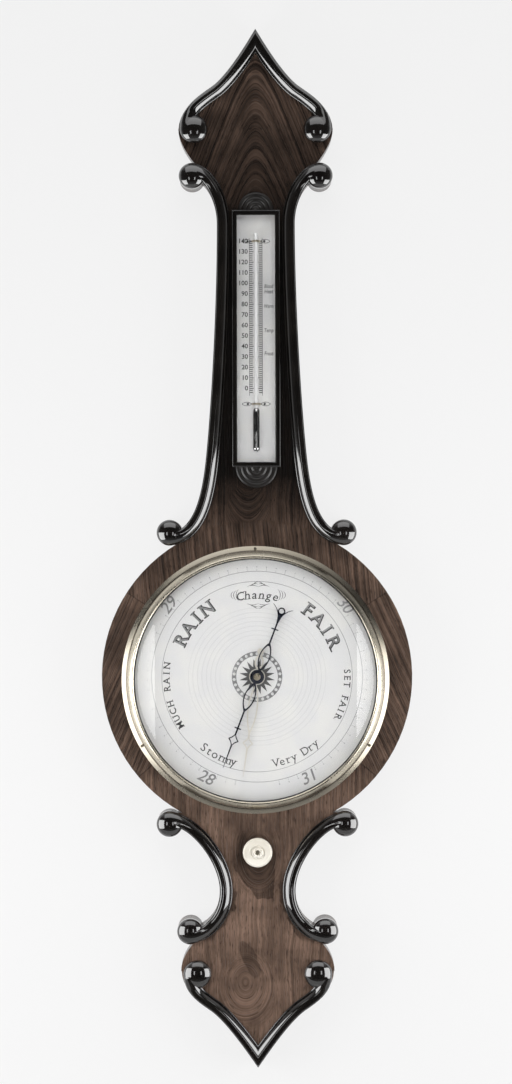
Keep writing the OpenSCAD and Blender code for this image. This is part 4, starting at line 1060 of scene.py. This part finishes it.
# %% Weather words
shade, face = bmesh.new(), bmesh.new()
for word, bearing in (("RAIN", -50.4), ("FAIR", 51.5)):
    add_word(shade, word, bearing + 0.3, 9.3, 0.0852, 0.0186, weight=0.0006)
    add_word(face, word, bearing - 0.12, 9.3, 0.0855, 0.0186, lift=wax_t, weight=-0.0001)
wax_piece("shaded_words_back", shade)
wax_piece("shaded_words_face", face, "worn_wax")
words = bmesh.new()
add_word(words, "MUCH RAIN", -102.4, 4.9, 0.0922, 0.0095, weight=0.0001)
add_word(words, "SET FAIR", 101.6, 4.24, 0.0918, 0.0095, weight=0.0001)
add_word(words, "Stormy", 206.3, 4.3, 0.0904, 0.0125, low=True)
add_word(words, "Very Dry", 153.5, 4.1, 0.0904, 0.0118, low=True)
word_u = 0.0832
add_word(words, "Change", 0.6, 5.0, word_u, 0.0122, weight=0.00008, slant=0.12)
wax_piece("small_words", words)

# %% [markdown]
# Round the middle word the engraver cut a few hairline flourishes. Each is an arc with a width that
# swells and fades, extruded as a flat ribbon.

# %% Flourishes
ribbon_w = 0.0006


def add_ribbon(shape, points):
    """A flat ribbon through points (across, up) on the dial, widest in its middle."""
    sections = []
    for i, (px, pu) in enumerate(points):
        before, after = points[max(0, i - 1)], points[min(len(points) - 1, i + 1)]
        run = Vector((after[0] - before[0], after[1] - before[1])).normalized()
        half = ribbon_w / 2 * (0.2 + 0.8 * math.sin(math.pi * i / (len(points) - 1)))
        off = left_of(run) * half
        corners = ((px - off.x, pu - off.y), (px + off.x, pu + off.y))
        low = [at(cx, dial_u + cu, dial_d) for cx, cu in corners]
        high = [at(cx, dial_u + cu, dial_d + wax_t) for cx, cu in reversed(corners)]
        sections.append(low + high)
    sweep(shape, sections)


flourish = bmesh.new()
word_x, bracket_w, sag = 0.0014, 0.004, 0.0016
bracket_reach_height = [(0.0225, 0.0062), (0.0251, 0.0051), (0.0277, 0.004)]
curl_lift_length_phase = [(0.0085, 0.0115, 0.0), (0.0102, 0.0091, 0.6), (0.0119, 0.0067, 1.2)]
curl_shares = [i / 10 for i in range(11)]
for side in (-1, 1):
    for reach, height in bracket_reach_height:
        bracket_x = word_x + side * (reach - bracket_w)
        add_ribbon(flourish, arc(bracket_x, word_u, side * bracket_w, height, -70, 70, 12))
    for lift, length, phase in curl_lift_length_phase:
        for up in (-1, 1):
            curl = [(word_x + side * length * share,
                     word_u + up * (lift + sag * math.sin(math.pi * share + phase))) for share in curl_shares]
            add_ribbon(flourish, curl)
wax_piece("dial_flourishes", flourish)

# %% [markdown]
# A sun is engraved round the arbor, with sixteen rays in a ring of beads. The sun is a circle of points
# whose every second point is pulled out to the tip of a ray. The beads are little flattened balls.

# %% Sun and beads
def add_bead(shape, subdivisions, radius, matrix):
    made = bmesh.ops.create_icosphere(shape, subdivisions=subdivisions, radius=radius)
    bmesh.ops.scale(shape, vec=(1, 0.3, 1), verts=made["verts"])
    bmesh.ops.transform(shape, verts=made["verts"], matrix=matrix)


ray_count, ray_tip, ray_valley = 16, 0.0184, 0.0104
sun = bmesh.new()
rays = add_disc(sun, 2 * ray_count, ray_valley)
for vert in rays:
    step = round(math.atan2(vert.co.y, vert.co.x) * ray_count / math.pi)
    if step % 2:
        vert.co.xy *= ray_tip / ray_valley
bmesh.ops.transform(sun, verts=rays, matrix=on_dial(0, 0, 2 * wax_t) @ stand_up)
wax_piece("dial_sun", sun, "sun_wax")
bead_ring_r, bead_count = 0.0235, 26
bead_ground = bmesh.new()
add_ring(bead_ground, bead_ring_r, 0.0046)
make_piece("bead_ground", bead_ground, "worn_wax", slot="silvered")
beads = bmesh.new()
for i in range(bead_count):
    add_bead(beads, 2, 0.0016, on_dial(360 * i / bead_count, bead_ring_r, wax_t))
make_piece("dial_beads", beads, "silvered", smooth=60)

# %% [markdown]
# The pressure hand has a dark turned boss round its eye, with a polished edge that catches the light. It
# turns with the hand.

# %% Boss of the pressure hand
hand_d = front_of("pressure_hand")
eye_r, boss_r, boss_t = 0.0032, 0.0072, 0.0008
boss_profile = ([(eye_r, hand_d - 0.0002), (boss_r, hand_d - 0.0002)]
                + arc(boss_r - 0.0008, hand_d + boss_t - 0.0006, 0.0008, 0.0006, 0, 90, 5)
                + [(boss_r - 0.0018, hand_d + boss_t - 0.0003), (eye_r, hand_d + boss_t - 0.0003)])
turned_piece("hand_boss", boss_profile, dial_centre, "blued_steel", steps=64, body="hand")

# %% [markdown]
# Half of a turned roundel sits above and below the thermometer. Its rings are rounds with quirks between
# them. Half a turn of a closed profile makes it, and the flat side is filled.

# %% Half roundels
roundel_rise, ring_count, ring_round = 0.0031, 4, 0.0012
fans = bmesh.new()
for centre_u, radius, up in ((frame_high.z, 0.0184, 1), (frame_low.z, 0.0214, -1)):
    ring_w = radius / ring_count
    top = face_d + roundel_rise
    profile = [(0, face_d), (0, top)]
    for i in range(ring_count):
        ring_d = top - ring_round - 0.0003 * i
        profile += arc((i + 0.5) * ring_w, ring_d, ring_w * 0.44, ring_round, 170, 10, 6)
    profile += [(radius, face_d)]
    spin_profile(fans, profile, at(0, centre_u, 0), angle=math.pi * up, steps=48)
    bmesh.ops.remove_doubles(fans, verts=fans.verts, dist=merge_gap)
    bmesh.ops.holes_fill(fans, edges=[e for e in fans.edges if e.is_boundary])
make_piece("half_roundels", fans, "worn_black", slot="ebonised", stands_for="fan_ornaments")

# %% [markdown]
# The thermometer's frame is a narrow moulding mitred at its corners, with a fine bead on its outer edge.
# Its section is carried from corner to corner, and each point keeps its distance from the outer edge.

# %% Thermometer frame
rail_section = (
    [(0, 0)] + arc(0.0006, 0.0028, 0.0006, 0.0006, 180, 0, 8) + [(0.0012, 0.0022), (0.0015, 0.0022)]
    + [(0.0018, 0.0027), (0.0043, 0.0025)] + arc(0.0046, 0.0022, 0.0005, 0.0005, 120, 0, 6) + [(0.0051, 0)]
)
half_x, half_u = half_width(frame_low, frame_high), (frame_high.z - frame_low.z) / 2
corners = [(-1, -1), (1, -1), (1, 1), (-1, 1), (-1, -1)]
rails = sweep(bmesh.new(), [
    [at(sx * (half_x - off), thermo_u + su * (half_u - off), face_d + rise) for off, rise in rail_section]
    for sx, su in corners], capped=False)
make_piece("thermometer_rails", rails, "ebonised", stands_for="thermometer_frame")

# %% [markdown]
# The thermometer's tube is clear glass, but its stem is drawn solid white: the white is a painted highlight
# that stands for the bright reflection running along the glass. Its long bulb is full of mercury and mirrors
# the room. Both are turned about an upright axis. The tube stands in the place of the plain solid.

# %% Thermometer tube
tube_low, tube_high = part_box("thermometer_tube")
stem_r, bulb_r = 0.0019, half_width(tube_low, tube_high)
tube_axis = at(0, 0, -(tube_low.y + tube_high.y) / 2)
bulb_top = tube_low.z + 0.0456
stem_foot = bulb_top - 0.004
shoulder = bulb_r * 1.6
# Painted highlight: the stem's near-white colour stands for the reflection along a clear glass tube.
handled_finish("tube_white_painted_highlight", [0.96] * 3, [0.99] * 3, 0.05, 0.12, Coat_Weight=0.6, Coat_Roughness=0.03)
handled_finish("mercury_in_glass", [0.5] * 3, [0.6] * 3, 0.04, 0.07, Metallic=1.0)
stem_profile = [(0, stem_foot), (stem_r, stem_foot)] + arc(0, tube_high.z - stem_r, stem_r, stem_r, 0, 90, 6)
turned_piece("thermometer_stem", stem_profile, tube_axis, "tube_white_painted_highlight", upwards, steps=32,
             slot="clear_glass", stands_for="thermometer_tube")
bulb_profile = (arc(0, tube_low.z + bulb_r, bulb_r, bulb_r, -90, 0, 8)
                + arc(0, bulb_top - shoulder, bulb_r, shoulder, 0, 90, 8))
turned_piece("thermometer_bulb", bulb_profile, tube_axis, "mercury_in_glass", upwards, steps=40,
             slot="mercury")

# %% [markdown]
# The scale is engraved like the dial: a ladder of fine lines on both sides of the tube, numerals every
# ten degrees on the left, a few words for common temperatures on the right, and a leaf round each clip.

# %% Thermometer scale
degree = 0.00107508
zero_u = dial_u + 0.2946
first_rung, last_rung, rule_past = -4, 140, 3
rule_l = (last_rung - first_rung + 2 * rule_past) * degree
rule_u = zero_u + (first_rung + last_rung) / 2 * degree
rule_x, rule_w = (-0.0068, 0.0064), 0.0004
long_rung, short_rung, rung_t = 0.0042, 0.0034, 0.0009
figures_end, words_x, words_w = -0.0084, 0.0128, 0.0098


def on_scale(x, u):
    return Matrix.Translation(at(x, u, scale_d))


ladder = bmesh.new()
for rule in rule_x:
    add_block(ladder, rule_w, rule_l, on_scale(rule, rule_u))
for step in range(first_rung, last_rung + 1, 2):
    for rule, side in zip(rule_x, (1, -1)):
        width = long_rung if step % 10 == 0 else short_rung
        add_block(ladder, width, rung_t, on_scale(rule + side * width / 2, zero_u + step * degree))
wax_piece("scale_ladder", ladder)
figures = bmesh.new()
for warmth in range(0, last_rung + 1, 10):
    mesh = letter_mesh(str(warmth), 0.0066, weight=0.00012)
    half = max(v.co.x for v in mesh.vertices)
    add_letter(figures, mesh, on_scale(figures_end - half, zero_u + warmth * degree))
for word, warmth in (("Blood", 97), ("Heat", 92), ("Warm", 78), ("Temp", 55), ("Frost", 33)):
    mesh = letter_mesh(word, 0.0058, weight=0.00006, slant=0.2)
    narrowing = words_w / (2 * max(v.co.x for v in mesh.vertices))
    narrowed = on_scale(words_x, zero_u + warmth * degree) @ Matrix.Diagonal((narrowing, 1, 1, 1))
    add_letter(figures, mesh, narrowed)
wax_piece("scale_figures", figures)

# %% Leaves round the clips
leaf_x, leaf_w, leaf_h, leaf_line, leaf_open = 0.0096, 0.0052, 0.0032, 0.0005, 0.0013
leaves = bmesh.new()
for clip_u in (thermo_u + 0.1, thermo_u - 0.0664):
    for side in (-1, 1):
        middle = side * leaf_x
        for points in (arc(middle, clip_u - leaf_open, leaf_w, leaf_h, 20, 160, 9),
                       arc(middle, clip_u + leaf_open, leaf_w, leaf_h, 200, 340, 9)):
            for start, end in zip(points, points[1:]):
                run = Vector((end[0] - start[0], end[1] - start[1]))
                tilt = Matrix.Rotation(-math.atan2(run.y, run.x), 4, "Y")
                centre = on_scale((start[0] + end[0]) / 2, (start[1] + end[1]) / 2)
                add_block(leaves, run.length * 1.1, leaf_line, centre @ tilt)
        add_bead(leaves, 1, 0.0014, on_scale(middle - side * 0.001, clip_u))
wax_piece("clip_leaves", leaves)

# %% [markdown]
# The set knob is turned bone: a rounded rim, a slightly dished face, a raised ring and a drilled eye.

# %% Set knob
knob_r = half_width(knob_low, knob_high)
knob_back, knob_front = -knob_high.y, -knob_low.y
knob_profile = (
    [(0, knob_back), (knob_r - 0.004, knob_back), (knob_r - 0.0034, knob_back + 0.003)]
    + arc(knob_r - 0.0022, knob_back + 0.0064, 0.0022, 0.0022, -60, 100, 12)
    + [(knob_r - 0.0036, knob_back + 0.0081), (0.009, knob_back + 0.0085), (0.0073, knob_back + 0.0084)]
    + arc(0.0066, knob_back + 0.0083, 0.0006, 0.0006, 0, -180, 6)
    + [(0.0055, knob_back + 0.0088)]
    + arc(0.004, knob_front - 0.001, 0.0012, 0.001, 0, 180, 8)
    + [(0.0026, knob_front - 0.0012), (0.0022, knob_front - 0.003), (0, knob_front - 0.003)]
)
turned_piece("bone_knob", knob_profile, at(0, knob_u, 0), "bone", body="knob", stands_for="set_knob")

# %% [markdown]
# Inside the case two threads hang from the pulley, and the float sits on the mercury in the open limb. As the
# hand turns, these three change their length. Each is a plain rod, drawn at its length at rest and left on no
# body.

# %% Threads and float mercury
def hung_rod(name, node_name, finish, weight, top_stays):
    low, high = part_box(node_name)
    rod_r, rod_l = half_width(low, high), high.z - low.z
    foot = Vector(((low.x + high.x) / 2, (low.y + high.y) / 2, low.z))
    head = foot + upwards * rod_l
    profile = [(0, 0), (rod_r, 0), (rod_r, rod_l), (0, rod_l)]
    ends = (head, foot) if top_stays else (foot, head)
    turned_piece(name, profile, foot, finish, upwards, steps=24, stands_for=node_name,
                 reaches=(weight, *ends))


hung_rod("float_line", "float_thread", "thread", "float", top_stays=True)
hung_rod("counter_line", "counter_thread", "thread", "counter", top_stays=True)
hung_rod("float_quicksilver", "float_mercury", "mercury", "float", top_stays=False)

# %% [markdown]
# The object hangs on a pale wall. The wall shows a light grey to the camera and to mirrors and glass, and
# a share of it is plain paint that takes the soft shadows. From behind it is clear, so that the back of
# the case can be seen, and light that sets out close to it passes too, so that lamps behind the wall reach
# that back. A pale floor lies below.

# %% Wall and floor
paint_level, paint_rough = 0.85, 0.9
glow_share = 0.9
close_by = 0.016


def stage_finish(name, level):
    paint, _ = new_finish(name, Base_Color=grey(paint_level), Roughness=paint_rough)
    tree = paint.id_data
    path = node(tree, "ShaderNodeLightPath")
    mirrored = calc("MAXIMUM", path["Is Camera Ray"], path["Is Glossy Ray"])
    seen = calc("MAXIMUM", mirrored, path["Is Transmission Ray"])
    glow = node(tree, "ShaderNodeEmission", {"Color": grey(level), "Strength": 1.0})[0]
    face_on = show_mixed(paint, seen * glow_share, Value(paint.outputs[0]), glow)
    close = calc("LESS_THAN", path["Ray Length"], close_by)
    behind = calc("MAXIMUM", node(tree, "ShaderNodeNewGeometry")["Backfacing"], close)
    show_mixed(paint, behind, face_on, node(tree, "ShaderNodeBsdfTransparent")[0])


def stage_sheet(name, first, second, level):
    """A sheet right across the stage, from one edge to another, each given by its place up and out."""
    stage_finish(f"pale_{name}", level)
    corners = [at(-wall_half, *first), at(wall_half, *first), at(wall_half, *second), at(-wall_half, *second)]
    shape = bmesh.new()
    shape.faces.new([shape.verts.new(corner) for corner in corners])
    made = object_from(name, shape, f"pale_{name}")
    print("stage:", name)


wall_back, wall_half, floor_u, wall_top, floor_front = -0.004, 4.0, -2.2, 3.0, 1.6
stage_sheet("wall", (floor_u, wall_back), (wall_top, wall_back), 0.9)
stage_sheet("floor", (floor_u, floor_front), (floor_u, wall_back), 0.55)

# %% [markdown]
# Two broad soft boxes stand near the object, left and right, and low. They light the face and draw the
# white lines on the mouldings and balls. Two narrow ones by the camera show as pale patches at the edges
# of the convex glass, and weak wings graze the sides. A broad panel hangs above, and a fill that mirrors
# don't see lifts the dark wood. Two lamps behind light the back when it is looked at.

# %% Lamps
def soft_box(name, bearing, distance, u, width, height, level, faces_u=None):
    """A flat lamp whose face is level times as bright as white paper in full light."""
    lamp = bpy.data.lights.new(name, "AREA")
    lamp.shape = "RECTANGLE"
    lamp.size, lamp.size_y = width, height
    lamp.energy = level * math.pi * width * height
    made = add_object(name, lamp)
    turn = math.radians(bearing)
    made.location = at(distance * math.sin(turn), u, distance * math.cos(turn))
    towards = at(0, u if faces_u is None else faces_u, 0)
    made.rotation_euler = (towards - made.location).to_track_quat("-Z", "Y").to_euler()
    return made


lamp_pairs = (
    ("key", 59, dict(distance=0.933, u=-0.775, width=0.83, height=0.75, level=5.0)),
    ("near", 16, dict(distance=3.1, u=-0.72, width=0.28, height=0.86, level=3.0)),
    ("wing", 82, dict(distance=2.2, u=-0.45, width=0.6, height=2.4, level=0.2)),
    ("back", -145, dict(distance=3.0, u=-0.45, width=1.2, height=1.6, level=3.0)),
)
for side in (-1, 1):
    for name, bearing, lamp in lamp_pairs:
        soft_box(f"{name}_{side}", side * bearing, **lamp)
soft_box("above", 0, distance=1.6, u=1.8, width=3.6, height=2.2, level=1.2, faces_u=-0.2)
fill = soft_box("fill", 0, distance=2.4, u=0.9, width=1.6, height=1.0, level=1.8, faces_u=-0.1)
fill.visible_glossy = False

# %% [markdown]
# The room is dark in front, so that black polish looks black, and lighter behind and overhead. It is pale
# only to the camera and straight through glass, where it is the background. Light that has bounced off
# the dial and leaves through the glass still meets the dark room.

# %% Room
room_stops = [(0.0, 0.02), (0.06, 0.03), (0.25, 0.05), (0.42, 0.08), (0.5, 0.25), (1.0, 0.75)]
overhead_stops = [(0.0, 0.2), (0.1, 0.2), (0.28, 0.0), (0.75, 0.0), (0.9, 0.4), (1.0, 0.4)]
background_level = 0.85
scene.world = bpy.data.worlds.new("room")
scene.world.use_nodes = True
sky = scene.world.node_tree
_, front_to_back, upward = parts_of(node(sky, "ShaderNodeTexCoord")["Generated"])
room = ramp(front_to_back * 0.5 + 0.5, room_stops)
overhead = ramp(upward * 0.5 + 0.5, overhead_stops)
path = node(sky, "ShaderNodeLightPath")
straight = calc("LESS_THAN", path["Diffuse Depth"] + path["Glossy Depth"], 0.5)
seen = calc("MAXIMUM", path["Is Camera Ray"], path["Is Transmission Ray"] * straight)
dim = blend(1.0, room, overhead, "ADD")
feed(sky.nodes["Background"].inputs["Color"], blend(seen, dim, grey(background_level)))
scene.view_settings.view_transform = "Standard"
print("room nodes:", len(sky.nodes))
